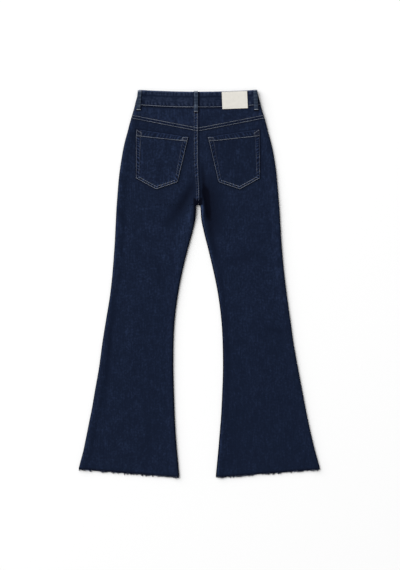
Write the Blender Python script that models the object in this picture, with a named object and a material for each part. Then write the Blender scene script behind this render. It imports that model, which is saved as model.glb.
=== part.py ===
"""A pair of flared jeans lying flat and face down, so that the back is on top.

The waist is at +Y, the wearer's left is at -X, and the lowest cloth is at Z = 0. A place on the garment is
(across, down): metres from the centre line, and metres down from the top of the waist. The front and the back
lie on each other as a low pile, whose faces turn in to its middle level along the outseams and inseams. Each
sewn piece is a grid of places on its outer face, and a Solidify modifier gives it its wall inwards.
"""

from collections import namedtuple
from math import atan2, pi

import bpy
import numpy as np

# Cloth
WALL = 0.0012  # one layer of denim
BAND_WALL = 0.0022  # waistband: two layers and a stiffener
LOOP_WALL = 0.0016
PATCH_WALL = 0.0013
FRAY_WALL = 0.0009
TAPE_WALL = 0.0010  # zip tape
GAP = 0.0003  # between pieces, beside and above each other

# Lengths down the garment
BAND_DEPTH = 0.0440
BACK_DIP = 0.0054  # how far the waist is lower at the centre back than at the sides
BACK_BEND = 1.5  # and the power by which it rises to them
BACK_FOOT_DIP = 0.0069  # and the back waistband's lower edge, because the band is deeper at the centre
FRONT_DIP = 0.0180
YOKE_SIDE = 0.0813
YOKE_CENTRE = 0.1182
CROTCH = 0.3265
HEM_OUTSEAM = 1.0765
HEM_INSEAM = 1.1000
HEM_BOW = 0.0010  # how much further down the hem is than a straight one, from HEM_BEND out
HEM_BEND = 0.018
FRAY_DEPTH = 0.0056
LENGTH = HEM_INSEAM + FRAY_DEPTH  # top of the waist to the lowest tip of the frayed hem

# Widths across the garment
WAIST = 0.1683  # half the waist, at its top edge
HEM_OUTER = 0.3439  # centre line to the hem's outer corner
HEM_INNER = 0.0518  # centre line to the hem's inner corner
SLOT = 0.0060  # half the gap between the legs where it begins
ROLL = 0.0200  # width over which the pile's faces turn in at an edge

# Edges of the legs, from the centre line
Edge = namedtuple("Edge", "down across")
OUTSEAM = (
    Edge(down=0.000, across=0.1683),
    Edge(down=0.045, across=0.1797),
    Edge(down=0.113, across=0.1995),
    Edge(down=0.198, across=0.2185),
    Edge(down=0.321, across=0.2313),
    Edge(down=0.455, across=0.2393),
    Edge(down=0.569, across=0.2499),
    Edge(down=0.683, across=0.2669),
    Edge(down=0.825, across=0.2900),
    Edge(down=0.939, across=0.3111),
    Edge(down=1.082, across=0.3452),
)
INSEAM = (
    Edge(down=0.326, across=0.0060),
    Edge(down=0.343, across=0.0060),
    Edge(down=0.369, across=0.0087),
    Edge(down=0.398, across=0.0150),
    Edge(down=0.455, across=0.0299),
    Edge(down=0.512, across=0.0435),
    Edge(down=0.569, across=0.0550),
    Edge(down=0.654, across=0.0664),
    Edge(down=0.768, across=0.0707),
    Edge(down=0.882, across=0.0680),
    Edge(down=0.996, across=0.0608),
    Edge(down=1.106, across=0.0514),
)

# The real pair isn't quite even: how far +X each edge is from where the tables put it
Nudge = namedtuple("Nudge", "down left_outer left_inner right_inner right_outer")
NUDGES = (
    Nudge(down=0.000, left_outer=-0.0005, left_inner=0.0000, right_inner=0.0000, right_outer=-0.0008),
    Nudge(down=0.060, left_outer=-0.0006, left_inner=0.0000, right_inner=0.0000, right_outer=-0.0009),
    Nudge(down=0.095, left_outer=-0.0003, left_inner=0.0000, right_inner=0.0000, right_outer=-0.0011),
    Nudge(down=0.120, left_outer=0.0000, left_inner=0.0000, right_inner=0.0000, right_outer=-0.0017),
    Nudge(down=0.144, left_outer=-0.0008, left_inner=0.0000, right_inner=0.0000, right_outer=-0.0009),
    Nudge(down=0.168, left_outer=-0.0008, left_inner=0.0000, right_inner=0.0000, right_outer=-0.0007),
    Nudge(down=0.195, left_outer=-0.0002, left_inner=0.0000, right_inner=0.0000, right_outer=-0.0010),
    Nudge(down=0.250, left_outer=-0.0004, left_inner=0.0000, right_inner=0.0000, right_outer=-0.0012),
    Nudge(down=0.336, left_outer=-0.0002, left_inner=0.0003, right_inner=0.0016, right_outer=-0.0010),
    Nudge(down=0.362, left_outer=0.0000, left_inner=0.0005, right_inner=0.0005, right_outer=-0.0009),
    Nudge(down=0.400, left_outer=0.0001, left_inner=0.0005, right_inner=-0.0002, right_outer=-0.0006),
    Nudge(down=0.480, left_outer=0.0005, left_inner=-0.0003, right_inner=-0.0009, right_outer=-0.0002),
    Nudge(down=0.580, left_outer=0.0008, left_inner=-0.0003, right_inner=-0.0006, right_outer=0.0009),
    Nudge(down=0.660, left_outer=-0.0001, left_inner=-0.0002, right_inner=-0.0006, right_outer=0.0001),
    Nudge(down=0.720, left_outer=-0.0002, left_inner=-0.0001, right_inner=-0.0004, right_outer=-0.0010),
    Nudge(down=0.790, left_outer=0.0016, left_inner=0.0000, right_inner=-0.0001, right_outer=0.0002),
    Nudge(down=0.870, left_outer=0.0015, left_inner=-0.0003, right_inner=-0.0004, right_outer=0.0013),
    Nudge(down=0.905, left_outer=0.0020, left_inner=-0.0007, right_inner=-0.0004, right_outer=0.0015),
    Nudge(down=0.940, left_outer=0.0019, left_inner=-0.0013, right_inner=-0.0004, right_outer=0.0015),
    Nudge(down=0.990, left_outer=0.0032, left_inner=-0.0018, right_inner=-0.0011, right_outer=0.0013),
    Nudge(down=1.030, left_outer=0.0046, left_inner=-0.0017, right_inner=-0.0013, right_outer=0.0015),
    Nudge(down=1.070, left_outer=0.0038, left_inner=-0.0016, right_inner=-0.0016, right_outer=0.0027),
    Nudge(down=1.106, left_outer=0.0036, left_inner=-0.0016, right_inner=-0.0018, right_outer=0.0029),
)
MIDDLE = 0.0032  # how far +X the middle of the whole is from the centre line

# Height of the pile's upper face, away from its edges
Pile = namedtuple("Pile", "down top")
PILE = (
    Pile(down=0.000, top=0.0086),
    Pile(down=0.050, top=0.0086),
    Pile(down=0.135, top=0.0062),
    Pile(down=0.321, top=0.0058),
    Pile(down=0.700, top=0.0056),
    Pile(down=1.106, top=0.0046),
)
WAIST_LIFT = 0.0028  # the front loops hold the waist off the surface
LIFT_ENDS = (0.060, 0.135)  # down, where that lift starts to fade and where it is gone
BAND_PROUD = 0.0005  # the waistband stands out of the yoke and front panels

# Button and fly
BUTTON_DOWN = FRONT_DIP + BAND_DEPTH / 2
BUTTON_RADIUS = 0.0085
BUTTON_CAP = 0.0032
SHANK_RADIUS = 0.0022
BUTTON_LIFT = 0.0017  # how much more the button lifts the waistband than the loops do
BUTTON_REACH = (0.030, 0.030)  # across and down, of the hump that it makes in the front
PILE_LIFT = 0.0026
PILE_REACH = (0.045, 0.090)  # of the hump that the button and fly make in the back
HOLE_ENDS = (-0.0120, 0.0040)
HOLE_HALF = 0.0028
OVERLAP = 0.0220  # the buttonhole end passes the centre front by this
UNDERLAP = 0.0300  # and the button end by this, above it
UNDERLAP_RISE = (0.036, 0.024)  # across, where the button end starts to rise and where it is up
ZIP_MIDDLE = -0.0040
ZIP_HALF = 0.0130
ZIP_ENDS = (0.0795, 0.1950)
TAB_ROOM = 0.0011  # the zip tape lies this much higher where the slider's tab is under it
TAB_ENDS = (0.096, 0.118)
SHIELD_ENDS = (0.0637, 0.2000)
SHIELD_EDGES = (-0.0320, 0.0160)

# Front pocket mouths: quarter ellipses down from the waistband and out to the outseam
MOUTH_WIDE = 0.0850
MOUTH_DEEP = 0.0640
MOUTH_GAP = 0.0004  # of the cut edge and of the facing, each from the curve between them
MOUTH_ANGLES = np.radians([0, 30, 55, 80])

# Back pockets: corners of the left one's mirror image
Corner = namedtuple("Corner", "across down")
POCKET_OUTER_TOP = Corner(across=0.1764, down=0.1120)
POCKET_INNER_TOP = Corner(across=0.0274, down=0.1343)
POCKET_OUTER_FOOT = Corner(across=0.1773, down=0.2510)
POCKET_POINT = Corner(across=0.1193, down=0.2830)
POCKET_INNER_FOOT = Corner(across=0.0580, down=0.2622)

# Patch on the waistband
PATCH_TOP = Corner(across=0.1037, down=0.0042)  # middle of its top edge
PATCH_FOOT = Corner(across=0.1058, down=0.0538)
PATCH_WIDTH = 0.0726
PATCH_SLANT = -0.0026  # how much further down it is at its right than at its left

# Belt loops, by the middles of their ends
LOOP_WIDTH = 0.0115
LOOP_STAND = 0.0011  # how far a loop's middle stands off the waistband
Loop = namedtuple("Loop", "name top_across foot_across top_down foot_down")
BACK_LOOPS = (
    Loop("belt_loop_centre_back", top_across=-0.0061, foot_across=-0.0061, top_down=0.0038, foot_down=0.0630),
    Loop("belt_loop_back_left", top_across=-0.1657, foot_across=-0.1697, top_down=0.0018, foot_down=0.0566),
    Loop("belt_loop_back_right", top_across=0.1633, foot_across=0.1662, top_down=0.0, foot_down=0.0572),
)
FRONT_LOOPS = (
    Loop("belt_loop_front_left", top_across=-0.0880, foot_across=-0.0900, top_down=0.0105, foot_down=0.0680),
    Loop("belt_loop_front_right", top_across=0.0880, foot_across=0.0900, top_down=0.0105, foot_down=0.0680),
)

# Finishes: linear colour, roughness and metallic value
Finish = namedtuple("Finish", "colour roughness metallic")
DENIM = Finish(colour=(0.0100, 0.0150, 0.0350), roughness=0.90, metallic=0.0)
LOOP_DENIM = Finish(colour=(0.0300, 0.0420, 0.0700), roughness=0.90, metallic=0.0)
LEATHERETTE = Finish(colour=(0.7600, 0.7300, 0.6700), roughness=0.60, metallic=0.0)
FRAY = Finish(colour=(0.0600, 0.0800, 0.1300), roughness=0.95, metallic=0.0)
TAPE = Finish(colour=(0.0120, 0.0160, 0.0300), roughness=0.85, metallic=0.0)
BRASS = Finish(colour=(0.4200, 0.3000, 0.1500), roughness=0.35, metallic=1.0)


def through(table, down):
    """Smooth curve through a table's rows: a cubic between two rows, with the table's slope at each row."""
    at, value = np.array(table).T
    slope = np.gradient(value, at)
    i = np.clip(np.searchsorted(at, down) - 1, 0, len(at) - 2)
    step = at[i + 1] - at[i]
    t = np.clip((down - at[i]) / step, 0, 1)
    ahead = (1 + 2 * t) * (1 - t) ** 2 * value[i] + t * (1 - t) ** 2 * step * slope[i]
    behind = t**2 * (3 - 2 * t) * value[i + 1] - t**2 * (1 - t) * step * slope[i + 1]
    return ahead + behind


def eased(t):
    """0 to 1 along half a cosine wave, and flat beyond both ends."""
    return 0.5 - 0.5 * np.cos(pi * np.clip(t, 0, 1))


def outseam(down):
    return through(OUTSEAM, down)


def inseam(down):
    """Inner edge of a leg, or of the centre seam above the crotch."""
    return np.where(down < CROTCH + GAP, GAP / 2, through(INSEAM, down))


def nudged(across, down):
    """X of a place: its distance across, moved by its share of its leg's two nudges, less the middle of the whole."""
    outer, inner = outseam(down), through(INSEAM, down)
    share = np.clip((np.abs(across) - inner) / (outer - inner), 0, 1)
    table = np.array(NUDGES)
    left_outer, left_inner, right_inner, right_outer = (through(table[:, [0, k]], down) for k in range(1, 5))
    inner_edge = np.where(across < 0, left_inner, right_inner) * eased((down - CROTCH) / 0.02)
    outer_edge = np.where(across < 0, left_outer, right_outer)
    return across + inner_edge * (1 - share) + outer_edge * share - MIDDLE


def band_edge(across, dip, bend=2.0):
    """How far down the waist's top edge is: lowest at the centre, and up to the sides by a power of the share across."""
    return dip * (1 - np.abs(across / WAIST) ** bend)


def yoke_seam(across):
    """Straight from the outseam down to the centre back."""
    side = outseam(YOKE_SIDE)
    return YOKE_CENTRE + (YOKE_SIDE - YOKE_CENTRE) * np.abs(across) / side


def hem(across):
    """From the outer corner down to the inner one, and nearly level by the inner one."""
    share = (np.abs(across) - HEM_INNER) / (HEM_OUTER - HEM_INNER)
    bow = HEM_BOW * (1 - np.exp((HEM_INNER - np.abs(across)) / HEM_BEND))
    return HEM_INSEAM + (HEM_OUTSEAM - HEM_INSEAM) * share + bow


def hump(across, down, reach):
    """Bell-shaped rise over the button: 1 at its middle, exp(-1) at its reach."""
    return np.exp(-((across / reach[0]) ** 2) - ((down - BUTTON_DOWN) / reach[1]) ** 2)


def under(across, down):
    """Height of the pile's lower face, away from its edges."""
    start, end = LIFT_ENDS
    fading = 1 - eased((down - start) / (end - start))
    return WAIST_LIFT * fading + BUTTON_LIFT * hump(across, down, BUTTON_REACH)


def over(across, down):
    """Height of the pile's upper face, away from its edges."""
    return through(PILE, down) + PILE_LIFT * hump(across, down, PILE_REACH)


def turned_in(across, down):
    """1 at an edge of the pile and 0 from ROLL inwards, along a quarter of an ellipse."""
    side = np.abs(across)
    to_slot = np.hypot(np.maximum(side - SLOT, 0), np.maximum(CROTCH - down, 0))
    to_inner = np.where(down < CROTCH, to_slot, side - through(INSEAM, down))
    near = np.minimum(outseam(down) - side, to_inner)
    return 1 - np.sqrt(1 - (1 - np.clip(near / ROLL, 0, 1)) ** 2)


def face(across, down, up, wall=WALL, proud=0.0):
    """Height of the outer face, of the back (up) or of the front.

    It turns in at an edge of the pile, to a wall and half a gap off the pile's middle level.
    """
    sign = 1 if up else -1
    low, high = under(across, down), over(across, down)
    open_face = (high if up else low) + sign * proud
    edge_face = (low + high) / 2 + sign * (wall + GAP / 2)
    return open_face + turned_in(across, down) * (edge_face - open_face)


def band_face(across, down, up):
    return face(across, down, up, BAND_WALL, BAND_PROUD)


def shade(thing, finish):
    """Gives an object its own Principled material."""
    paint = bpy.data.materials.new(thing.name)
    paint.use_nodes = True
    shader = paint.node_tree.nodes["Principled BSDF"]
    shader.inputs["Base Color"].default_value = (*finish.colour, 1.0)
    shader.inputs["Roughness"].default_value = finish.roughness
    shader.inputs["Metallic"].default_value = finish.metallic
    thing.data.materials.append(paint)


def piece(name, mesh, finish):
    thing = bpy.data.objects.new(name, mesh)
    bpy.context.scene.collection.objects.link(thing)
    shade(thing, finish)
    return thing


def sew(name, across, down, height, wall, finish, up=True, hole=None):
    """A piece of cloth: its outer face as a grid of quads, with its wall behind it.

    A hole is a true/false grid of the cells to leave out.
    """
    rows, columns = across.shape
    points = np.stack([nudged(across, down), LENGTH / 2 - down, height], axis=2).reshape(-1, 3)
    corner = (np.arange(rows - 1)[:, None] * columns + np.arange(columns - 1)).reshape(-1)
    cells = np.stack([corner, corner + columns, corner + columns + 1, corner + 1], axis=1)
    if hole is not None:
        cells = cells[~hole.reshape(-1)]
    runs_right = across[0, -1] > across[0, 0]
    if runs_right != up:
        cells = cells[:, ::-1]
    mesh = bpy.data.meshes.new(name)
    mesh.from_pydata(points.tolist(), [], cells.tolist())
    cloth = piece(name, mesh, finish)
    mesh.shade_smooth()
    solidify = cloth.modifiers.new("wall", "SOLIDIFY")
    solidify.thickness = wall
    solidify.offset = -1.0
    solidify.use_even_offset = True
    return cloth


def rolled_columns(between):
    """Columns as (fixed, share): fixed metres plus a share of the width, close together over the rolls."""
    arc = np.radians([0, 30, 60, 90])
    share = np.concatenate([0 * arc, np.arange(1, between + 1) / (between + 1), 0 * arc + 1])
    rolls = np.concatenate([1 - np.cos(arc), np.ones(between), 1 + np.cos(arc[::-1])])
    return ROLL * (rolls - 2 * share), share


def even_columns(count):
    return np.zeros(count), np.linspace(0, 1, count)


def spread(outer, inner, top, bottom, columns, rows):
    """Grid of places between two edges, given as across for down, and two ends, given as down for across.

    A few rounds of placing the rows and then the columns settle both, because each depends on the other.
    """
    fixed, share = columns
    rows = np.asarray(rows)[:, None]
    down = np.full((len(rows), len(share)), top(outer(0.0)))
    for _ in range(12):
        start, end = outer(down), inner(down)
        way = np.sign(end - start)
        across = start + way * fixed + (end - start) * share
        down = top(across) * (1 - rows) + bottom(across) * rows
    return across, down


def share_of(down, top, bottom):
    return (down - top) / (bottom - top)


# Back leg panels and yokes

def crotch_rows(top, above, below):
    """Row shares for a leg panel: even rows, with one more just below the crotch's corner."""
    crotch = share_of(CROTCH, top, HEM_INSEAM)
    corner = share_of(CROTCH + 5 * GAP, top, HEM_INSEAM)
    beyond = share_of(CROTCH + 0.03, top, HEM_INSEAM)
    return np.concatenate([np.linspace(0, crotch, above), [corner], np.linspace(beyond, 1, below)])


def back_leg(side, name):
    def outer(down):
        return side * outseam(down)

    def inner(down):
        return side * inseam(down)

    def top(across):
        return yoke_seam(across) + GAP

    rows = crotch_rows(YOKE_CENTRE + GAP, above=7, below=14)
    across, down = spread(outer, inner, top, hem, rolled_columns(3), rows)
    sew(f"back_panel_{name}", across, down, face(across, down, True), WALL, DENIM)

    def yoke_top(across):
        return band_edge(across, BACK_FOOT_DIP) + BAND_DEPTH + GAP

    across, down = spread(outer, inner, yoke_top, yoke_seam, rolled_columns(3), np.linspace(0, 1, 4))
    sew(f"back_yoke_{name}", across, down, face(across, down, True), WALL, DENIM)


# Front leg panels, cut away at the pocket mouths, and the facings that fill them

def mouth_top():
    """Down, of the mouth's upper end, where its curve meets the waistband."""
    return band_edge(outseam(BAND_DEPTH) - MOUTH_WIDE, FRONT_DIP) + BAND_DEPTH + GAP


def mouth(down, grow):
    """How far in from the outseam the mouth's curve is, for a quarter ellipse grown by a margin."""
    deep = np.clip((down - mouth_top()) / (MOUTH_DEEP + grow), 0, 1)
    return (MOUTH_WIDE + grow) * np.sqrt(1 - deep**2)


def front_leg(side, name):
    def inner(down):
        return side * inseam(down)

    def cut_edge(down):
        return side * (outseam(down) - mouth(down, MOUTH_GAP))

    def seam_edge(down):
        return side * outseam(down)

    def facing_edge(down):
        return side * (outseam(down) - mouth(down, -MOUTH_GAP))

    def top(across):
        return band_edge(across, FRONT_DIP) + BAND_DEPTH + GAP

    curve = mouth_top() + (MOUTH_DEEP + MOUTH_GAP) * np.sin(np.append(MOUTH_ANGLES[1:], pi / 2))
    rows = crotch_rows(FRONT_DIP + BAND_DEPTH + GAP, above=7, below=14)
    rows = rows[rows > share_of(curve[-1] + 0.02, mouth_top(), HEM_OUTSEAM)]
    rows = np.concatenate([[0], share_of(curve, mouth_top(), HEM_OUTSEAM), rows])
    across, down = spread(cut_edge, inner, top, hem, rolled_columns(3), rows)
    sew(f"front_panel_{name}", across, down, face(across, down, False), WALL, DENIM, up=False)

    foot = mouth_top() + (MOUTH_DEEP - MOUTH_GAP) * np.sin(MOUTH_ANGLES)

    def facing_foot(across):
        return np.full_like(across, foot[-1])

    rows = share_of(foot, foot[0], foot[-1])
    across, down = spread(seam_edge, facing_edge, top, facing_foot, even_columns(6), rows)
    name = f"front_pocket_facing_{name}"
    sew(name, across, down, face(across, down, False), WALL, DENIM, up=False)


# Waistband: one piece over the back, two over the front that lap at the button

def waistband():
    def left(down):
        return -outseam(down)

    def right(down):
        return outseam(down)

    def back_top(across):
        return band_edge(across, BACK_DIP, BACK_BEND)

    def back_foot(across):
        return band_edge(across, BACK_FOOT_DIP) + BAND_DEPTH

    def front_top(across):
        return band_edge(across, FRONT_DIP) + GAP

    def front_foot(across):
        return front_top(across) + BAND_DEPTH - GAP

    rows = np.linspace(0, 1, 4)
    across, down = spread(left, right, back_top, back_foot, rolled_columns(13), rows)
    sew("waistband_back", across, down, band_face(across, down, True), BAND_WALL, DENIM)

    # the buttonhole lies between two rows and two columns
    hole_rows = [0, 0.5 - HOLE_HALF / BAND_DEPTH, 0.5 + HOLE_HALF / BAND_DEPTH, 1]
    stops = [-0.145, -0.110, -0.075, -0.045, HOLE_ENDS[0], HOLE_ENDS[1], OVERLAP]
    across, down = band_end(left, stops, front_top, front_foot, hole_rows)
    cell = np.zeros((len(across) - 1, across.shape[1] - 1), bool)
    cell[1, -2] = True
    height = band_face(across, down, False)
    sew("waistband_front_left", across, down, height, BAND_WALL, DENIM, up=False, hole=cell)

    stops = [0.145, 0.110, 0.075, 0.050, *UNDERLAP_RISE, 0.0, -UNDERLAP]
    across, down = band_end(right, stops, front_top, front_foot, rows)
    start, end = UNDERLAP_RISE
    height = band_face(across, down, False)
    height += (BAND_WALL + GAP) * eased((across - start) / (end - start))
    sew("waistband_front_right", across, down, height, BAND_WALL, DENIM, up=False)


def band_end(side_edge, stops, top, foot, rows):
    """Grid over half of the front waistband: close columns at the side's roll, then a column at each stop."""
    rows = np.asarray(rows)[:, None]
    roll = ROLL * (1 - np.cos(np.radians([0, 30, 60, 90])))
    start = side_edge(rows * BAND_DEPTH)
    inwards = np.sign(stops[-1] - start)
    across = np.hstack([start + inwards * roll, np.broadcast_to(stops, (len(rows), len(stops)))])
    return across, top(across) * (1 - rows) + foot(across) * rows


# What lies on the back

def pocket(side, name):
    """Straight lines from the mouth's edge to the foot, which has a corner at the point."""
    count = 8
    t = np.linspace(0, 1, count)
    point = 4 / (count - 1)
    mouth_edge = np.outer(1 - t, POCKET_OUTER_TOP) + np.outer(t, POCKET_INNER_TOP)
    feet = np.array([POCKET_OUTER_FOOT, POCKET_POINT, POCKET_INNER_FOOT])
    foot = np.stack([np.interp(t, [0, point, 1], feet[:, k]) for k in (0, 1)], axis=1)
    rows = np.linspace(0, 1, 7)[:, None, None]
    across, down = np.moveaxis(mouth_edge * (1 - rows) + foot * rows, 2, 0)
    height = face(across, down, True) + GAP + WALL
    sew(f"back_pocket_{name}", side * across, down, height, WALL, DENIM)


def strip(top, foot, width, rows, columns):
    """Grid of a straight strip from the middle of its top edge to the middle of its foot."""
    rows = np.asarray(rows)[:, None]
    middle = top.across * (1 - rows) + foot.across * rows
    across = middle + width * np.linspace(-0.5, 0.5, columns)
    return across, np.broadcast_to(top.down * (1 - rows) + foot.down * rows, across.shape)


def patch():
    across, down = strip(PATCH_TOP, PATCH_FOOT, PATCH_WIDTH, np.linspace(0, 1, 5), 7)
    down = down + PATCH_SLANT * (across - PATCH_TOP.across) / PATCH_WIDTH
    height = band_face(across, np.minimum(down, BAND_DEPTH), True) + GAP + PATCH_WALL
    sew("label_patch", across, down, height, PATCH_WALL, LEATHERETTE)


def back_loops():
    """A loop is sewn down at both ends, arches off the waistband and steps down to the yoke at its foot."""
    rows = np.array([0, 0.08, 0.2, 0.35, 0.5, 0.65, 0.78, 0.86, 0.93, 1])
    for loop in BACK_LOOPS:
        top = Corner(loop.top_across, loop.top_down)
        foot = Corner(loop.foot_across, loop.foot_down)
        across, down = strip(top, foot, LOOP_WIDTH, rows, 4)
        arch = LOOP_STAND * np.sin(pi * np.clip(rows / rows[-3], 0, 1))[:, None]
        step = BAND_PROUD * eased((rows - rows[-3]) / (1 - rows[-3]))[:, None]
        height = band_face(across, down, True) + GAP + LOOP_WALL + arch - step
        sew(loop.name, across, down, height, LOOP_WALL, LOOP_DENIM)


def front_loops():
    """Pressed flat between the waistband and the surface below."""
    for loop in FRONT_LOOPS:
        top = Corner(loop.top_across, loop.top_down)
        foot = Corner(loop.foot_across, loop.foot_down)
        across, down = strip(top, foot, LOOP_WIDTH, np.linspace(0, 1, 4), 4)
        sew(loop.name, across, down, 0 * across, LOOP_WALL, LOOP_DENIM, up=False)


# Fly and button

def tape_height(across, down):
    """Lower face of the zip tape, above the front panels and the slider's tab."""
    start, end = TAB_ENDS
    room = TAB_ROOM * (1 - eased((down - start) / (end - start)))
    return under(across, down) + WALL + GAP + room


def fly():
    across, down = np.meshgrid(ZIP_MIDDLE + np.linspace(-ZIP_HALF, ZIP_HALF, 4), np.linspace(*ZIP_ENDS, 9))
    sew("zip", across, down, tape_height(across, down), TAPE_WALL, TAPE, up=False)

    across, down = np.meshgrid(np.linspace(*SHIELD_EDGES, 5), np.linspace(*SHIELD_ENDS, 10))
    height = tape_height(across, down) + TAPE_WALL + GAP
    sew("fly_shield", across, down, height, WALL, DENIM, up=False)


def zip_slider():
    """A slider above the tape's top end, with its tab down on the tape: a stepped outline, 7 mm wide."""
    width, tab_end, body_end, room = 0.0070, 0.0260, 0.0115, 0.0005
    tab_wall, body_wall = TAB_ROOM - GAP - room / 2, 0.0021
    top = 0.0672
    outline = [
        (0, 0),
        (tab_end, 0),
        (tab_end, tab_wall),
        (body_end, tab_wall),
        (body_end, body_wall),
        (0, body_wall),
    ]
    near = [(-width / 2, -run, rise) for run, rise in outline]
    far = [(width / 2, -run, rise) for run, rise in outline]
    count = len(outline)
    sides = [(i, count + i, count + (i + 1) % count, (i + 1) % count) for i in range(count)]
    ends = [tuple(range(count)), tuple(range(count, 2 * count))[::-1]]
    mesh = bpy.data.meshes.new("zip_slider")
    mesh.from_pydata(near + far, [], sides + ends)
    slider = piece("zip_slider", mesh, BRASS)
    drop = under(ZIP_MIDDLE, top) - under(ZIP_MIDDLE, top + tab_end)
    slider.location = (nudged(ZIP_MIDDLE, top), LENGTH / 2 - top, under(ZIP_MIDDLE, top) + WALL + room)
    slider.rotation_euler.x = atan2(drop, tab_end)


def button():
    """A turned cap on a shank, which passes through the buttonhole and stops just under the button end."""
    shank_top = face(0.0, BUTTON_DOWN, False, BAND_WALL, BAND_PROUD) + BAND_WALL
    rim, radius = 0.0009, BUTTON_RADIUS
    profile = [
        (0, shank_top),
        (SHANK_RADIUS, shank_top),
        (SHANK_RADIUS, BUTTON_CAP),
        (radius - rim, BUTTON_CAP),
        (radius, BUTTON_CAP - rim),
        (radius, rim),
        (radius - rim, 0),
        (0, 0),
    ]
    mesh = bpy.data.meshes.new("button")
    edges = [(i, i + 1) for i in range(len(profile) - 1)]
    mesh.from_pydata([(r, 0, z) for r, z in profile], edges, [])
    thing = piece("button", mesh, BRASS)
    thing.location = (nudged(0.0, BUTTON_DOWN), LENGTH / 2 - BUTTON_DOWN, 0)
    screw = thing.modifiers.new("turned", "SCREW")
    screw.steps = screw.render_steps = 24
    screw.use_merge_vertices = True
    screw.merge_threshold = 0.00001


# Frayed raw hems: a thin strip of the threads' reach below each panel

def fray(side, name):
    def outer(down):
        return side * outseam(down)

    def inner(down):
        return side * through(INSEAM, down)

    def top(across):
        return hem(across) + GAP

    def foot(across):
        return hem(across) + FRAY_DEPTH

    across, down = spread(outer, inner, top, foot, rolled_columns(3), [0, 1])
    for part, up in (("back", True), ("front", False)):
        height = face(across, down, up, FRAY_WALL)
        sew(f"hem_fray_{part}_{name}", across, down, height, FRAY_WALL, FRAY, up=up)


for thing in list(bpy.data.objects):
    bpy.data.objects.remove(thing)

for side, name in ((-1, "left"), (1, "right")):
    back_leg(side, name)
    front_leg(side, name)
    pocket(side, name)
    fray(side, name)
waistband()
patch()
back_loops()
front_loops()
fly()
zip_slider()
button()
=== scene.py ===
"""Flared jeans lying flat and face down on white paper, so that the back is on top.

A place on the garment is (across, down), in metres: across from the centre line towards the wearer's right,
and down from the top of the waist. The waist is at +Y. Heights are above the paper.
"""

from collections import namedtuple
from functools import partial
from math import cos, pi, radians, sin

import bpy
import numpy as np
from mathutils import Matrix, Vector


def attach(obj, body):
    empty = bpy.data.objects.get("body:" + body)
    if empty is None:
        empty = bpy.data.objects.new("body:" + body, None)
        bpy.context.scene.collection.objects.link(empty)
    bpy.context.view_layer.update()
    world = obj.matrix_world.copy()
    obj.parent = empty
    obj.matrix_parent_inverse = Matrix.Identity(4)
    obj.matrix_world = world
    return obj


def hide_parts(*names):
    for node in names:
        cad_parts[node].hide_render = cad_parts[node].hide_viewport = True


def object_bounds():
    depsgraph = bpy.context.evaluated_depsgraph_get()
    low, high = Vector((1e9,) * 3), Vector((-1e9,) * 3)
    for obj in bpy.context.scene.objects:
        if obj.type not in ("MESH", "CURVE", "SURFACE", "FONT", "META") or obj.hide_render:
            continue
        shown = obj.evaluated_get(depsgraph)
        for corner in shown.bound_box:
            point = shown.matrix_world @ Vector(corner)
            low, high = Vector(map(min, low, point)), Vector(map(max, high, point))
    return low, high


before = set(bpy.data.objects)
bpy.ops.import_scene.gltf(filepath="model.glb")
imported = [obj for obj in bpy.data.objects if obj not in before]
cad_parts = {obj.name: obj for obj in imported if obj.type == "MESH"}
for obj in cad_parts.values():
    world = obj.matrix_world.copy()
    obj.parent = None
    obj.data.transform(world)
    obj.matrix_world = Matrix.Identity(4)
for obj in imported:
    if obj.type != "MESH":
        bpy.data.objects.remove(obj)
cad_low, cad_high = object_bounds()
LENGTH = cad_high.y - cad_low.y

# --------------------------------------------------------------------------------------------------
# The room. Matt white paper, one broad light high on the left towards the waist, and an even white room round
# it. The camera looks straight down, with a long lens, and one pixel of its 400 x 570 picture is 2.85 mm of
# the paper.
PIXEL = 0.00285
PICTURE_HEIGHT = 570
CAMERA_HEIGHT = 4.0
CAMERA_PLACE = (0.0021, -0.0021)
SENSOR = 36.0
PAPER_SIDE = 30.0
PAPER_BELOW = 0.0002  # keeps the paper's face clear of the cloth's
LIGHT_SIDE = 30.0
LIGHT_AWAY = 25.0
LIGHT_HEIGHT = radians(38)  # above the paper
LIGHT_BEARING = radians(139)  # from +X, so from the left and a little from the waist
LIGHT_POWER = 11400.0
ROOM_GLOW = 0.40


def linear(colour):
    """Linear colour of an sRGB hex value: the sRGB curve undone for each of its three channels."""
    channels = [int(colour[i : i + 2], 16) / 255 for i in (1, 3, 5)]
    return (*[c / 12.92 if c <= 0.04045 else ((c + 0.055) / 1.055) ** 2.4 for c in channels], 1.0)


def feed(node, inputs):
    """Fills a node's inputs, by name or number: each with a value, or from another node's output."""
    for name, value in inputs.items():
        if isinstance(value, bpy.types.NodeSocket):
            node.id_data.links.new(value, node.inputs[name])
        else:
            node.inputs[name].default_value = value


def add(tree, kind, inputs=(), **settings):
    """Adds a node with its settings and its inputs."""
    node = tree.nodes.new(kind)
    for name, value in settings.items():
        setattr(node, name, value)
    feed(node, dict(inputs))
    return node


def finish_of(name, inputs):
    """A new material with its Principled shader, fed with what is the same all over the surface."""
    material = bpy.data.materials.new(name)
    material.use_nodes = True
    shader = material.node_tree.nodes["Principled BSDF"]
    feed(shader, inputs)
    return material, material.node_tree, shader


# Uncoated paper: scatters nearly all light and shines nowhere.
paper = finish_of(
    "matt white paper", {"Base Color": linear("#EFEFEF"), "Roughness": 1.0, "Specular IOR Level": 0.0}
)[0]

half = PAPER_SIDE / 2
mesh = bpy.data.meshes.new("paper")
corners = [(-half, -half), (half, -half), (half, half), (-half, half)]
mesh.from_pydata([(x, y, -PAPER_BELOW) for x, y in corners], [], [(0, 1, 2, 3)])
mesh.materials.append(paper)
floor = bpy.data.objects.new("paper", mesh)
bpy.context.scene.collection.objects.link(floor)

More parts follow.
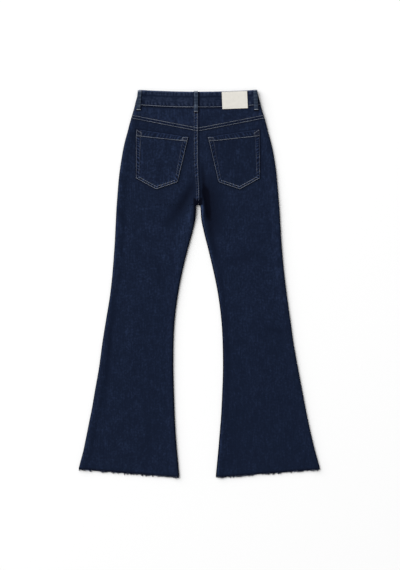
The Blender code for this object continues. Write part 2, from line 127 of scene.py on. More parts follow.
lens = bpy.data.cameras.new("camera")
lens.sensor_width = SENSOR
lens.lens = SENSOR * CAMERA_HEIGHT / (PICTURE_HEIGHT * PIXEL)
lens.clip_end = 100.0
camera = bpy.data.objects.new("camera", lens)
camera.location = (*CAMERA_PLACE, CAMERA_HEIGHT)
bpy.context.scene.collection.objects.link(camera)
bpy.context.scene.camera = camera

softbox = bpy.data.lights.new("softbox", "AREA")
softbox.shape = "SQUARE"
softbox.size = LIGHT_SIDE
softbox.energy = LIGHT_POWER
lamp = bpy.data.objects.new("softbox", softbox)
level = cos(LIGHT_HEIGHT)
towards = Vector((level * cos(LIGHT_BEARING), level * sin(LIGHT_BEARING), sin(LIGHT_HEIGHT)))
lamp.location = LIGHT_AWAY * towards
lamp.rotation_euler = towards.to_track_quat("Z", "Y").to_euler()
bpy.context.scene.collection.objects.link(lamp)

# the room lights the cloth less than it shows, so that the picture's ground stays white behind the paper
world = bpy.data.worlds.new("white room")
world.use_nodes = True
room = world.node_tree
seen = add(room, "ShaderNodeLightPath").outputs["Is Camera Ray"]
strength = add(room, "ShaderNodeMapRange", {"Value": seen, "To Min": ROOM_GLOW, "To Max": 1.0})
feed(room.nodes["Background"], {"Strength": strength.outputs["Result"], "Color": linear("#FFFFFF")})
bpy.context.scene.world = world
bpy.context.scene.view_settings.view_transform = "Standard"

# --------------------------------------------------------------------------------------------------
# Back leg panels. Dark stretch denim, one piece a leg from the yoke to the raw hem, pressed flat. The
# outseams and inseams are bands of doubled cloth, soft creases run out from the crotch, and the centre seam
# is felled to the left.
SIDES = ((-1, "left"), (1, "right"))  # the wearer's
WALL = 0.0012  # one layer of denim
GAP = 0.0003  # between pieces
ROLL = 0.0200  # width over which the pile's faces turn in at an edge
STEEP_ROLL = 0.0048  # and the width over which most of that happens
YOKE_SIDE = 0.0813
YOKE_CENTRE = 0.1182
CROTCH = 0.3265
SLOT = 0.0060  # half the gap between the legs where it begins
HEM_OUTSEAM = 1.0765
HEM_INSEAM = 1.1000
HEM_BOW = 0.0010  # how much further down the hem is than a straight one, from HEM_BEND out
HEM_BEND = 0.018
HEM_OUTER = 0.3439
HEM_INNER = 0.0518
Edge = namedtuple("Edge", "down across")
OUTSEAM = (
    Edge(down=0.000, across=0.1683),
    Edge(down=0.045, across=0.1797),
    Edge(down=0.113, across=0.1995),
    Edge(down=0.198, across=0.2185),
    Edge(down=0.321, across=0.2313),
    Edge(down=0.455, across=0.2393),
    Edge(down=0.569, across=0.2499),
    Edge(down=0.683, across=0.2669),
    Edge(down=0.825, across=0.2900),
    Edge(down=0.939, across=0.3111),
    Edge(down=1.082, across=0.3452),
)
INSEAM = (
    Edge(down=0.326, across=0.0060),
    Edge(down=0.343, across=0.0060),
    Edge(down=0.369, across=0.0087),
    Edge(down=0.398, across=0.0150),
    Edge(down=0.455, across=0.0299),
    Edge(down=0.512, across=0.0435),
    Edge(down=0.569, across=0.0550),
    Edge(down=0.654, across=0.0664),
    Edge(down=0.768, across=0.0707),
    Edge(down=0.882, across=0.0680),
    Edge(down=0.996, across=0.0608),
    Edge(down=1.106, across=0.0514),
)
Pile = namedtuple("Pile", "down top")
PILE = (
    Pile(down=0.000, top=0.0086),
    Pile(down=0.050, top=0.0086),
    Pile(down=0.135, top=0.0062),
    Pile(down=0.321, top=0.0058),
    Pile(down=0.700, top=0.0056),
    Pile(down=1.106, top=0.0046),
)
# the pair isn't quite even: how far +X each edge is from where the tables put it
Nudge = namedtuple("Nudge", "down left_outer left_inner right_inner right_outer")
NUDGES = (
    Nudge(0.000, -0.0005, 0.0000, 0.0000, -0.0008),
    Nudge(0.060, -0.0006, 0.0000, 0.0000, -0.0009),
    Nudge(0.095, -0.0003, 0.0000, 0.0000, -0.0011),
    Nudge(0.120, 0.0000, 0.0000, 0.0000, -0.0017),
    Nudge(0.144, -0.0008, 0.0000, 0.0000, -0.0009),
    Nudge(0.168, -0.0008, 0.0000, 0.0000, -0.0007),
    Nudge(0.195, -0.0002, 0.0000, 0.0000, -0.0010),
    Nudge(0.250, -0.0004, 0.0000, 0.0000, -0.0012),
    Nudge(0.336, -0.0002, 0.0003, 0.0016, -0.0010),
    Nudge(0.362, 0.0000, 0.0005, 0.0005, -0.0009),
    Nudge(0.400, 0.0001, 0.0005, -0.0002, -0.0006),
    Nudge(0.480, 0.0005, -0.0003, -0.0009, -0.0002),
    Nudge(0.580, 0.0008, -0.0003, -0.0006, 0.0009),
    Nudge(0.660, -0.0001, -0.0002, -0.0006, 0.0001),
    Nudge(0.720, -0.0002, -0.0001, -0.0004, -0.0010),
    Nudge(0.790, 0.0016, 0.0000, -0.0001, 0.0002),
    Nudge(0.870, 0.0015, -0.0003, -0.0004, 0.0013),
    Nudge(0.905, 0.0020, -0.0007, -0.0004, 0.0015),
    Nudge(0.940, 0.0019, -0.0013, -0.0004, 0.0015),
    Nudge(0.990, 0.0032, -0.0018, -0.0011, 0.0013),
    Nudge(1.030, 0.0046, -0.0017, -0.0013, 0.0015),
    Nudge(1.070, 0.0038, -0.0016, -0.0016, 0.0027),
    Nudge(1.106, 0.0036, -0.0016, -0.0018, 0.0029),
)
MIDDLE = 0.0032  # how far +X the middle of the whole is from the centre line
WAIST_LIFT = 0.0028  # the front loops hold the waist off the paper
LIFT_ENDS = (0.060, 0.135)
BUTTON_DOWN = 0.0400
BUTTON_LIFT = 0.0017
BUTTON_REACH = (0.030, 0.030)
PILE_LIFT = 0.0026
PILE_REACH = (0.045, 0.090)

# seam bands: how high the doubled cloth stands, how wide it is, and how wide the slope beside it is
Band = namedtuple("Band", "rise wide slope")
OUTSEAM_BAND = Band(rise=0.0020, wide=0.012, slope=0.018)
INSEAM_BAND = Band(rise=0.0017, wide=0.008, slope=0.016)

# creases of the back, from start to end, bowed to one side; a negative rise is a trough. dye is how much
# lighter the crease is drawn, or how much darker below 0: dark dye in a trough is painted shade, light dye on
# a ridge is wear
Crease = namedtuple("Crease", "start end width rise bow dye")
BACK_CREASES = (
    Crease(start=(0.002, 0.250), end=(-0.096, 0.392), width=0.0125, rise=-0.0016, bow=0.006, dye=-0.20),
    Crease(start=(-0.014, 0.262), end=(-0.062, 0.345), width=0.0090, rise=-0.0004, bow=0.002, dye=-0.12),
    Crease(start=(-0.006, 0.300), end=(-0.066, 0.500), width=0.0110, rise=0.0010, bow=-0.004, dye=0.045),
    Crease(start=(-0.030, 0.262), end=(-0.125, 0.350), width=0.0150, rise=0.0010, bow=0.003, dye=0.01),
    Crease(start=(-0.226, 0.335), end=(-0.204, 0.388), width=0.0070, rise=-0.0010, bow=0.0, dye=-0.08),
    Crease(start=(-0.118, 0.470), end=(-0.100, 0.590), width=0.0090, rise=-0.0010, bow=0.003, dye=-0.04),
    Crease(start=(-0.234, 0.500), end=(-0.272, 0.940), width=0.0080, rise=-0.0013, bow=0.004, dye=-0.05),
    Crease(start=(-0.162, 0.530), end=(-0.208, 0.860), width=0.0260, rise=0.0013, bow=-0.006, dye=0.01),
    Crease(start=(-0.206, 0.590), end=(-0.230, 0.640), width=0.0070, rise=-0.0008, bow=0.0, dye=-0.03),
    Crease(start=(-0.082, 0.920), end=(-0.066, 1.130), width=0.0160, rise=0.0014, bow=0.0, dye=0.01),
    Crease(start=(-0.120, 0.880), end=(-0.150, 1.060), width=0.0180, rise=-0.0007, bow=0.004, dye=-0.03),
    # at the crotch: troughs whose dark dye is painted shade, then a thin ridge whose light dye is a painted
    # highlight
    Crease(start=(0.0190, 0.2650), end=(0.0285, 0.3760), width=0.0078, rise=-0.0022, bow=0.001, dye=-0.60),
    Crease(start=(0.0180, 0.2770), end=(0.0205, 0.3160), width=0.0096, rise=-0.0004, bow=0.0, dye=-0.46),
    Crease(start=(0.0110, 0.2080), end=(0.0170, 0.3000), width=0.0050, rise=-0.0004, bow=0.0, dye=-0.34),
    Crease(start=(0.0240, 0.3100), end=(0.0580, 0.5000), width=0.0085, rise=-0.0010, bow=-0.002, dye=-0.16),
    Crease(start=(0.0320, 0.2400), end=(0.0540, 0.4200), width=0.0230, rise=-0.0006, bow=-0.004, dye=-0.25),
    Crease(start=(0.0134, 0.2980), end=(0.0146, 0.3560), width=0.0028, rise=0.0006, bow=0.0, dye=0.20),
    Crease(start=(0.044, 0.250), end=(0.094, 0.480), width=0.0180, rise=0.0012, bow=-0.008, dye=0.01),
    Crease(start=(0.062, 0.480), end=(0.086, 0.900), width=0.0100, rise=-0.0013, bow=0.006, dye=-0.05),
    Crease(start=(0.210, 0.200), end=(0.240, 0.640), width=0.0120, rise=0.0009, bow=0.002, dye=0.01),
    Crease(start=(0.070, 0.498), end=(0.205, 0.478), width=0.0140, rise=-0.0011, bow=0.006, dye=-0.04),
    Crease(start=(0.180, 0.680), end=(0.272, 0.700), width=0.0080, rise=-0.0010, bow=0.002, dye=-0.04),
    Crease(start=(0.135, 0.560), end=(0.170, 0.930), width=0.0300, rise=0.0009, bow=0.010, dye=0.01),
    Crease(start=(0.072, 0.960), end=(0.064, 1.130), width=0.0160, rise=0.0014, bow=0.0, dye=0.01),
    Crease(start=(0.110, 0.900), end=(0.098, 1.080), width=0.0160, rise=-0.0008, bow=0.004, dye=-0.03),
)
CROTCH_DIP = Crease(start=(0.002, 0.292), end=(0.002, 0.352), width=0.0080, rise=-0.0022, bow=0.0, dye=0.0)
CROTCH_LIFT = 0.0048  # four seams meet at the crotch and hold it up
CROTCH_REACH = (0.030, 0.035)

# where the back pockets lie on the panels
Corner = namedtuple("Corner", "across down")
POCKET_OUTER_TOP = Corner(across=0.1764, down=0.1120)
POCKET_INNER_TOP = Corner(across=0.0274, down=0.1343)
POCKET_OUTER_FOOT = Corner(across=0.1773, down=0.2510)
POCKET_POINT = Corner(across=0.1193, down=0.2830)
POCKET_INNER_FOOT = Corner(across=0.0580, down=0.2622)
MOUTH = (POCKET_OUTER_TOP, POCKET_INNER_TOP)
INNER_SIDE = (POCKET_INNER_TOP, POCKET_INNER_FOOT)
INNER_FOOT = (POCKET_INNER_FOOT, POCKET_POINT)
OUTER_FOOT = (POCKET_POINT, POCKET_OUTER_FOOT)
OUTER_SIDE = (POCKET_OUTER_FOOT, POCKET_OUTER_TOP)
POCKET_SIDES = (INNER_SIDE, INNER_FOOT, OUTER_FOOT, OUTER_SIDE)

# the felled seam at the centre back: its rows of thread, and its edge, at the yoke's top and at the crotch
SEAM_BEND = (0.190, 0.300)  # down, between which the seam goes over to the right
SEAM_LEFT_ROW = (-0.0108, -0.0043)
SEAM_RIGHT_ROW = (-0.0027, 0.0012)
SEAM_EDGE = (0.0010, 0.0048)
FELL_RISE = 0.0012
FELL_BEYOND = 0.0024  # past the left row, down to the cloth

# lines of paler or darker cloth along seams and edges, some of wear and some of painted light and shade: how
# wide each is, how much paler than the cloth, or how much darker below 0, and how far it is from the seam or
# edge
Line = namedtuple("Line", "wide pale at", defaults=[0.0])
# painted shade along the very edge of the legs' outseams and inseams
RIM_SHADE = Line(wide=0.0014, pale=-0.48)
# painted shadow to the right of the felled centre seam's edge
SEAM_SHADOW = Line(wide=0.0022, pale=-0.30)
SEAM_ROWS = Line(wide=0.0026, pale=0.02)
AT_HEM = Line(wide=0.0030, pale=-0.28)
# painted shadow below the yoke's lapped seam
YOKE_SHADOW = Line(wide=0.0022, pale=-0.08)
# painted shadow round the pockets' edges on the leg panels
POCKET_SHADOW = Line(wide=0.0022, pale=-0.24)
OUTSEAM_HIGHLIGHT_AND_SHADE = (Line(wide=0.0055, pale=0.10), Line(wide=0.0055, pale=-0.02))  # painted highlight on the left one, which faces the light, and painted shade on the right one
# painted shade at the very edge of the right leg's inseam
RIGHT_INSEAM_SHADE = Line(wide=0.0019, pale=-0.55)
INSEAM_HIGHLIGHTS = (0.28, 0.08)  # painted highlight on the right leg's raised inseam, which faces the light, at the crotch and further down
INSEAM_HIGHLIGHT_PLACE = (0.0043, 0.0024)  # its middle and its width
LEFT_INSEAM_SHADE = ((-0.80, 0.0060), (-0.32, 0.0036))  # painted shade along the left leg's inseam, which turns from the light: its amount and its width, at the crotch and further down
SETTLED = (CROTCH + 0.020, CROTCH + 0.080)  # down, between which an inseam's painted light and shade change
RIGHT_SETTLED = (CROTCH + 0.020, CROTCH + 0.040)
PIT_SHADE = Line(wide=0.0116, pale=-0.90, at=-0.0006)  # painted shade in the hollow just above the crotch
PIT_DOWN = (0.3112, 0.3192)
PIT_SIDES = 0.0075  # how much further up it reaches beside the seam
PIT_REACH = 0.0090
PIT_MIDDLE = -0.0005
KNEE = (0.52, 0.80)  # down, between which the cloth gets less worn
KNEE_PALES = (-0.010, -0.020)  # left and right
SEAM_ROPES_PALE = 0.26


def through(table, down):
    """Smooth curve through a table's rows: cubics between them, with the table's own slope at each row."""
    at, value = np.array(table).T
    slope = np.gradient(value, at)
    i = np.clip(np.searchsorted(at, down) - 1, 0, len(at) - 2)
    step = at[i + 1] - at[i]
    t = np.clip((down - at[i]) / step, 0, 1)
    ahead = (1 + 2 * t) * (1 - t) ** 2 * value[i] + t * (1 - t) ** 2 * step * slope[i]
    behind = t**2 * (3 - 2 * t) * value[i + 1] - t**2 * (1 - t) * step * slope[i + 1]
    return ahead + behind


def eased(t):
    """0 to 1 along half a cosine wave, and flat beyond both ends."""
    return 0.5 - 0.5 * np.cos(pi * np.clip(t, 0, 1))


def passed(ends, at):
    """0 before the first of two ends and 1 past the second, with half a cosine wave between them."""
    return eased((at - ends[0]) / (ends[1] - ends[0]))


def bell(off, reach, power=2):
    """Bell curve of a distance: 1 in its middle, exp(-1) at its reach. A higher power flattens its top."""
    return np.exp(-((off / reach) ** power))


def drawn(off, *lines):
    """Sum of some lines' shades: each a bell curve of the distance from the line's middle."""
    return sum(line.pale * bell(off - line.at, line.wide) for line in lines)


def outseam(down):
    """Outer edge of a leg, from the centre line: the curve through its table."""
    return through(OUTSEAM, down)


def nudged(across, down):
    """X of a place: its distance across plus its share of its leg's nudges, less the whole's middle."""
    outer, inner = outseam(down), through(INSEAM, down)
    share = np.clip((np.abs(across) - inner) / (outer - inner), 0, 1)
    table = np.array(NUDGES)
    left_outer, left_inner, right_inner, right_outer = (through(table[:, [0, k]], down) for k in range(1, 5))
    by_inner = np.where(across < 0, left_inner, right_inner) * eased((down - CROTCH) / 0.02)
    by_outer = np.where(across < 0, left_outer, right_outer)
    return across + by_inner * (1 - share) + by_outer * share - MIDDLE


def points_at(across, down, height):
    """Points of places at a height: X is the nudged distance across, and Y is half the length less down."""
    return np.stack(np.broadcast_arrays(nudged(across, down), LENGTH / 2 - down, height), axis=-1)


def yoke_seam(across):
    """How far down the yoke's seam is: straight from the outseam down to the centre back."""
    return YOKE_CENTRE + (YOKE_SIDE - YOKE_CENTRE) * np.abs(across) / outseam(YOKE_SIDE)


def hem(across):
    """How far down the raw hem is: a slope from the outer corner down, nearly level by the inner one."""
    beyond = np.abs(across) - HEM_INNER
    line = HEM_INSEAM + (HEM_OUTSEAM - HEM_INSEAM) * beyond / (HEM_OUTER - HEM_INNER)
    return line + HEM_BOW * (1 - np.exp(-beyond / HEM_BEND))


def along_seam(ends, down):
    """A value that is steady down the centre seam and then eases over to another by the crotch."""
    return ends[0] + (ends[1] - ends[0]) * passed(SEAM_BEND, down)


def hump(across, down, reach, middle=BUTTON_DOWN):
    """Bell-shaped rise on the centre line: 1 at its middle, and exp(-1) at its reach across or down."""
    return np.exp(-((across / reach[0]) ** 2) - ((down - middle) / reach[1]) ** 2)


def under(across, down):
    """Height of the pile's lower face: the paper, the front loops' lift and the button's hump."""
    return WAIST_LIFT * (1 - passed(LIFT_ENDS, down)) + BUTTON_LIFT * hump(across, down, BUTTON_REACH)


def crease(c, across, down):
    """One soft fold, up to 1: a bell curve across its bowed line, faded along it as half a sine wave."""
    start, run = np.array(c.start), np.subtract(c.end, c.start)
    long = np.hypot(*run)
    t = ((across - start[0]) * run[0] + (down - start[1]) * run[1]) / long**2
    off = ((across - start[0]) * run[1] - (down - start[1]) * run[0]) / long - c.bow * 4 * t * (1 - t)
    return np.sin(pi * np.clip(t, 0, 1)) ** 0.8 * bell(off, c.width)


def to_inner(across, down):
    """Distance inwards from the inner edge: the inseam below the crotch, and the slot's top above it."""
    side = np.abs(across)
    to_slot = np.hypot(np.maximum(side - SLOT, 0), np.maximum(CROTCH - down, 0))
    return np.where(down < CROTCH, to_slot, side - through(INSEAM, down))


def turned_in(across, down):
    """1 at an edge of the pile and 0 from ROLL inwards: a wide and a steep quarter ellipse in part each."""
    near = np.minimum(outseam(down) - np.abs(across), to_inner(across, down))
    wide, steep = (1 - np.sqrt(1 - (1 - np.clip(near / roll, 0, 1)) ** 2) for roll in (ROLL, STEEP_ROLL))
    return 0.35 * wide + 0.65 * steep


def banded(band, near):
    """Rise of the doubled cloth along a seam: level over the band, then down its slope."""
    return band.rise * (1 - eased((near - band.wide) / band.slope))


def uneven(across, down):
    """Unevenness of cloth that was pressed by hand: crossing long waves, within a quarter millimetre."""
    wide = np.sin(across / 0.021 + 2.2 * np.sin(down / 0.083)) * np.sin(down / 0.047 + across / 0.06)
    long = np.sin(down / 0.064 - across / 0.035 + 1.1)
    return 0.00014 * wide + 0.00010 * long


def back_relief(across, down):
    """All that raises or lowers the cloth of the back: the creases, the seam bands and the unevenness."""
    relief = uneven(across, down) + banded(OUTSEAM_BAND, outseam(down) - np.abs(across))
    below = eased((down - CROTCH) / 0.03)
    relief = relief + below * banded(INSEAM_BAND, to_inner(across, down))
    return relief + sum(c.rise * crease(c, across, down) for c in (*BACK_CREASES, CROTCH_DIP))


def back_face(across, down, wall=WALL, proud=0.0):
    """Height of the back's outer face: the pile's top and its relief, turned in to mid-height at an edge."""
    low = under(across, down)
    high = through(PILE, down) + PILE_LIFT * hump(across, down, PILE_REACH)
    edge = (low + high) / 2 + wall + GAP / 2
    open_face = high + back_relief(across, down) + proud
    lift = CROTCH_LIFT * hump(across, down, CROTCH_REACH, CROTCH)
    return open_face + turned_in(across, down) * (edge - open_face) + lift


def from_line(line, across, down):
    """Distance from the line through two corners, above 0 on the pocket's side, and distance along it."""
    a, b = line
    run = np.subtract(b, a) / np.hypot(*np.subtract(b, a))
    x, y = across - a.across, down - a.down
    return x * run[1] - y * run[0], x * run[0] + y * run[1]


def off_pocket(across, down):
    """Distance out from a pocket's nearest side, below 0 on the pocket."""
    return -np.min([from_line(line, np.abs(across), down)[0] for line in (MOUTH, *POCKET_SIDES)], axis=0)


def felled(across, down):
    """Rise of the felled seam: a slope up to its left row, then level to its edge, and nothing beyond."""
    from_row = across - along_seam(SEAM_LEFT_ROW, down)
    ridge = eased((from_row + FELL_BEYOND) / FELL_BEYOND) * FELL_RISE
    past = across > along_seam(SEAM_EDGE, down)
    fading = np.where(down < CROTCH, eased((CROTCH + 0.002 - down) / 0.012), 0)
    return np.where(past, 0, ridge) * fading


def rolled_columns(roll, between):
    """Columns as fixed metres and a share of the width: close together over the roll at both edges."""
    arc = np.linspace(0, pi / 2, roll)
    share = np.concatenate([0 * arc, np.arange(1, between + 1) / (between + 1), 0 * arc + 1])
    rolls = np.concatenate([1 - np.cos(arc), np.ones(between), 1 + np.cos(arc[::-1])])
    return ROLL * (rolls - 2 * share), share


def spread(outer, inner, top, bottom, columns, rows, rounds=12, step=1.0):
    """Grid of places between two edges, given as across for down, and two ends, given as down for across.

    A few rounds of placing the columns and then the rows settle both, because each depends a little on the
    other. Where an edge runs nearly level they depend more, and a shorter step keeps the rounds from
    swinging.
    """
    fixed, share = columns
    rows = np.asarray(rows)[:, None]
    down = np.full((len(rows), len(share)), top(outer(0.0)))
    for _ in range(rounds):
        start, end = outer(down), inner(down)
        across = start + np.sign(end - start) * fixed + (end - start) * share
        down = down + step * (top(across) * (1 - rows) + bottom(across) * rows - down)
    return across, down


def cloth(name, across, down, upper, lower, material, rubbed=0.0, hole=None):
    """A closed piece of cloth on a grid of places: its two faces, and a rim wherever the cells end.

    A rim face stands on each cell side that no other cell shares. The attribute "rubbed" holds wear together
    with painted light and shade: lighter above 0, darker below. A hole is a true/false grid of cells that are
    left out.
    """
    count, columns = across.size, across.shape[1]
    corner = (np.arange(across.shape[0] - 1)[:, None] * columns + np.arange(columns - 1)).reshape(-1)
    cells = np.stack([corner, corner + columns, corner + columns + 1, corner + 1], axis=1)
    if hole is not None:
        cells = cells[~hole.reshape(-1)]
    if across[0, -1] < across[0, 0]:
        cells = cells[:, ::-1]
    sides = np.stack([cells, np.roll(cells, -1, axis=1)], axis=2).reshape(-1, 2)
    shared = np.isin(sides[:, 0] * count + sides[:, 1], sides[:, 1] * count + sides[:, 0])
    a, b = sides[~shared].T
    rim = np.stack([b, a, a + count, b + count], axis=1)
    points = np.concatenate([points_at(across, down, face).reshape(-1, 3) for face in (upper, lower)])
    faces = np.concatenate([cells, cells[:, ::-1] + count, rim])
    shade = np.tile(np.broadcast_to(rubbed, across.shape).reshape(-1), 2)
    return sewn(name, points, [faces], material, shade)


def sewn(name, points, faces, material, shade=None):
    """An object at the origin from its points and its arrays of faces, smooth but for sharp edges."""
    mesh = bpy.data.meshes.new(name)
    mesh.from_pydata(points.tolist(), [], [face for group in faces for face in group.tolist()])
    if shade is not None:
        layer = mesh.attributes.new("rubbed", "FLOAT", "POINT")
        layer.data.foreach_set("value", np.asarray(shade, np.float32))
    mesh.shade_smooth()
    mesh.set_sharp_from_angle(angle=radians(55))
    mesh.materials.append(material)
    piece = bpy.data.objects.new(name, mesh)
    bpy.context.scene.collection.objects.link(piece)
    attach(piece, "root")
    return piece


def laid(across, down):
    """Area of a flat piece's outline by the shoelace sum, which is then left unused."""
    ring = np.concatenate([np.column_stack(side) for side in outline(across, down)])
    x, y = ring.T
    area = abs(np.sum(x * np.roll(y, -1) - y * np.roll(x, -1))) / 2


def outline(across, down):
    """The four sides of a grid of places, one after another round it."""
    forth, back = slice(None), slice(None, None, -1)
    for side in ((0, forth), (forth, -1), (-1, back), (back, 0)):
        yield across[side], down[side]


def denim(name, turn, dark, mid, light, mottle):
    """Dark stretch denim, seen as a mix of three indigos.

    The twill is a diagonal wave with its lines at about 60 degrees to the weft, the slubs are noise drawn
    out along the warp, and the mottle is noise of two sizes. turn is the angle of the warp from the legs'
    length, and mottle a gain on all but the twill.
    """
    material, tree, shader = finish_of(name, {
        "Roughness": 0.85,
        "Specular IOR Level": 0.06,
        "Sheen Weight": 0.05,
        "Sheen Roughness": 0.45,
        "Sheen Tint": linear("#7F93C4"),
    })
    where = add(tree, "ShaderNodeTexCoord").outputs["Object"]
    warp = add(tree, "ShaderNodeMapping", {"Vector": where, "Rotation": (0, 0, turn)}).outputs["Vector"]
    twill_turn = (0, 0, radians(-28))
    diagonal = add(tree, "ShaderNodeMapping", {"Vector": warp, "Rotation": twill_turn}).outputs["Vector"]
    # real twill lines are 0.8 mm apart; 1.6 mm is as fine as shows
    ribs = {"Scale": pi / 10 / 0.0016, "Distortion": 1.2, "Detail": 1.0, "Detail Scale": 2.0}
    twill = add(
        tree, "ShaderNodeTexWave", {"Vector": diagonal, **ribs}, wave_type="BANDS", bands_direction="X"
    ).outputs["Fac"]
    # warp yarns are 0.4 mm apart and uneven: slubs 3 mm wide and 30 mm long
    yarns = add(tree, "ShaderNodeMapping", {"Vector": warp, "Scale": (330, 34, 330)}).outputs["Vector"]
    slubs = add(tree, "ShaderNodeTexNoise", {"Vector": yarns, "Scale": 1.0, "Detail": 2.0}).outputs["Fac"]
    # patches where the wash took more indigo, 6 mm and 24 mm across
    small = add(
        tree, "ShaderNodeTexNoise", {"Vector": where, "Scale": 165.0, "Detail": 2.5, "Roughness": 0.62}
    ).outputs["Fac"]
    broad = add(tree, "ShaderNodeTexNoise", {"Vector": where, "Scale": 42.0, "Detail": 2.0}).outputs["Fac"]
    # rubbed is wear together with painted light and shade along edges, in creases and beside seams
    rubbed = add(tree, "ShaderNodeAttribute", attribute_name="rubbed").outputs["Fac"]
    waves = ((twill, 0.07), (slubs, 0.17 * mottle), (small, 0.28 * mottle), (broad, 0.11 * mottle))
    # each wave swings as far below its middle as above it, so unworn cloth has the mid tone on average
    unworn = 0.5 - sum(gain for _, gain in waves) / 2
    tone = add(tree, "ShaderNodeMath", {0: rubbed, 1: unworn}).outputs["Value"]
    for wave, gain in waves:
        added = add(tree, "ShaderNodeMath", {0: wave, 1: gain, 2: tone}, operation="MULTIPLY_ADD")
        tone = added.outputs["Value"]
    ramp = add(tree, "ShaderNodeValToRGB", {"Fac": tone})
    ramp.color_ramp.elements[0].color = linear(dark)
    ramp.color_ramp.elements[1].color = linear(light)
    middle = ramp.color_ramp.elements.new(0.5)
    middle.color = linear(mid)
    relief = add(tree, "ShaderNodeMath", {0: slubs, 1: 0.6, 2: twill}, operation="MULTIPLY_ADD")
    height = relief.outputs["Value"]
    bump = add(tree, "ShaderNodeBump", {"Height": height, "Strength": 0.5, "Distance": 0.00025})
    feed(shader, {"Base Color": ramp.outputs["Color"], "Normal": bump.outputs["Normal"]})
    return material


# Stretch denim, warp dyed in indigo and weft undyed, rinsed once: deep navy, with slubs and a soft mottle.
DENIM = denim("rinsed indigo denim", 0.0, "#010310", "#0F182B", "#3B4C72", 1.0)


def leg_face(across, down):
    """Height of the back leg panels' outer face: the back's, with the felled seam on it."""
    return back_face(across, down) + felled(across, down)


def outer_edge(side, down):
    """Outer edge of a leg: the outseam, on its side."""
    return side * outseam(down)


def leg_rows(top, count):
    """Row shares for a leg panel: even rows, with one on each side of the crotch's corner."""
    crotch, corner = ((at - top) / (HEM_INSEAM - top) for at in (CROTCH, CROTCH + 4 * GAP))
    above = round(count * crotch)
    return np.concatenate([np.linspace(0, crotch, above), np.linspace(corner, 1, count - above)])


def inner_edge(side, down):
    """Inner edge of a leg: the centre seam above the crotch and the inseam below."""
    seam = along_seam(SEAM_EDGE, down) + side * GAP / 2
    return np.where(down < CROTCH + GAP, seam, side * through(INSEAM, down))


def roped(along, off, pitch, reach, slant=0.25):
    """Puckers, from -1 to 1: an uneven, slanted wave along the seam under a bell curve across it."""
    uneven_pitch = 0.35 * np.sin(along / (1.7 * pitch)) + 0.2 * np.sin(along / (0.61 * pitch))
    phase = along / pitch + slant * off / reach + uneven_pitch
    return np.sin(2 * pi * phase) * bell(off, reach)


def off_rows(across, down):
    """Distance from the middle between the centre seam's two rows, which close up towards the crotch."""
    return across - (along_seam(SEAM_LEFT_ROW, down) + along_seam(SEAM_RIGHT_ROW, down)) / 2


def seam_ropes(across, down):
    """The puckers between the centre seam's two rows."""
    waves = roped(down, off_rows(across, down), pitch=0.0085, reach=0.0040)
    return waves * (across < along_seam(SEAM_EDGE, down))


def edge_painted_shading(across, down):
    """Painted light and shade along the legs' edges: a highlight where they face the light's side, shade
    where they turn from it and at every rim, strongest at the crotch.
    """
    left, right = across < 0, across > 0
    outer = outseam(down) - np.abs(across)
    inner = np.where(down < CROTCH, 1.0, to_inner(across, down))
    rub = drawn(np.minimum(outer, inner), RIM_SHADE)
    rub = rub + np.where(left, *(drawn(outer, line) for line in OUTSEAM_HIGHLIGHT_AND_SHADE))
    settled = passed(SETTLED, down)
    (near_pale, near_wide), (far_pale, far_wide) = LEFT_INSEAM_SHADE
    wide = near_wide + (far_wide - near_wide) * settled
    rub = rub + left * (near_pale + (far_pale - near_pale) * settled) * bell(inner, wide, 4)
    middle, wide = INSEAM_HIGHLIGHT_PLACE
    pale = INSEAM_HIGHLIGHTS[0] + (INSEAM_HIGHLIGHTS[1] - INSEAM_HIGHLIGHTS[0]) * settled
    dark = drawn(inner, RIGHT_INSEAM_SHADE) * passed(RIGHT_SETTLED, down)
    return rub + right * (pale * bell(inner - middle, wide) + dark)


def leg_wear_and_shading(across, down):
    """Where the cloth is drawn lighter or darker: wear on puckers and seam rows, painted light and shade
    along the edges and in creases and the crotch's hollow, and painted shadows beside the felled seam, below
    the yoke seam and round the pockets.
    """
    rub = edge_painted_shading(across, down) + sum(c.dye * crease(c, across, down) for c in BACK_CREASES)
    sides = np.clip(np.abs(across - PIT_MIDDLE) / PIT_REACH, 0, 1) ** 2
    pit = PIT_SHADE.pale * passed(PIT_DOWN, down + PIT_SIDES * sides) * bell(across - PIT_SHADE.at, PIT_SHADE.wide, 8)
    beyond = across - along_seam(SEAM_EDGE, down)
    seam = drawn(beyond, SEAM_SHADOW) * (beyond > 0) + drawn(off_rows(across, down), SEAM_ROWS)
    rub = rub + SEAM_ROPES_PALE * seam_ropes(across, down) + (pit + seam) * (down < CROTCH)
    rub = rub + np.where(across > 0, KNEE_PALES[1], KNEE_PALES[0]) * passed(KNEE, down)
    rub = rub + drawn(hem(across) - down, AT_HEM) + drawn(down - yoke_seam(across), YOKE_SHADOW)
    return rub + drawn(off_pocket(across, down), POCKET_SHADOW)


for side, name in SIDES:
    across, down = spread(
        partial(outer_edge, side),
        partial(inner_edge, side),
        lambda across: yoke_seam(across) + GAP,
        hem,
        rolled_columns(roll=9, between=72),
        leg_rows(YOKE_CENTRE, count=400),
    )
    upper = leg_face(across, down)
    rub = leg_wear_and_shading(across, down)
    panel = cloth(f"cloth_back_panel_{name}", across, down, upper, upper - WALL, DENIM, rub)
    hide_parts(f"back_panel_{name}")
    laid(across, down)


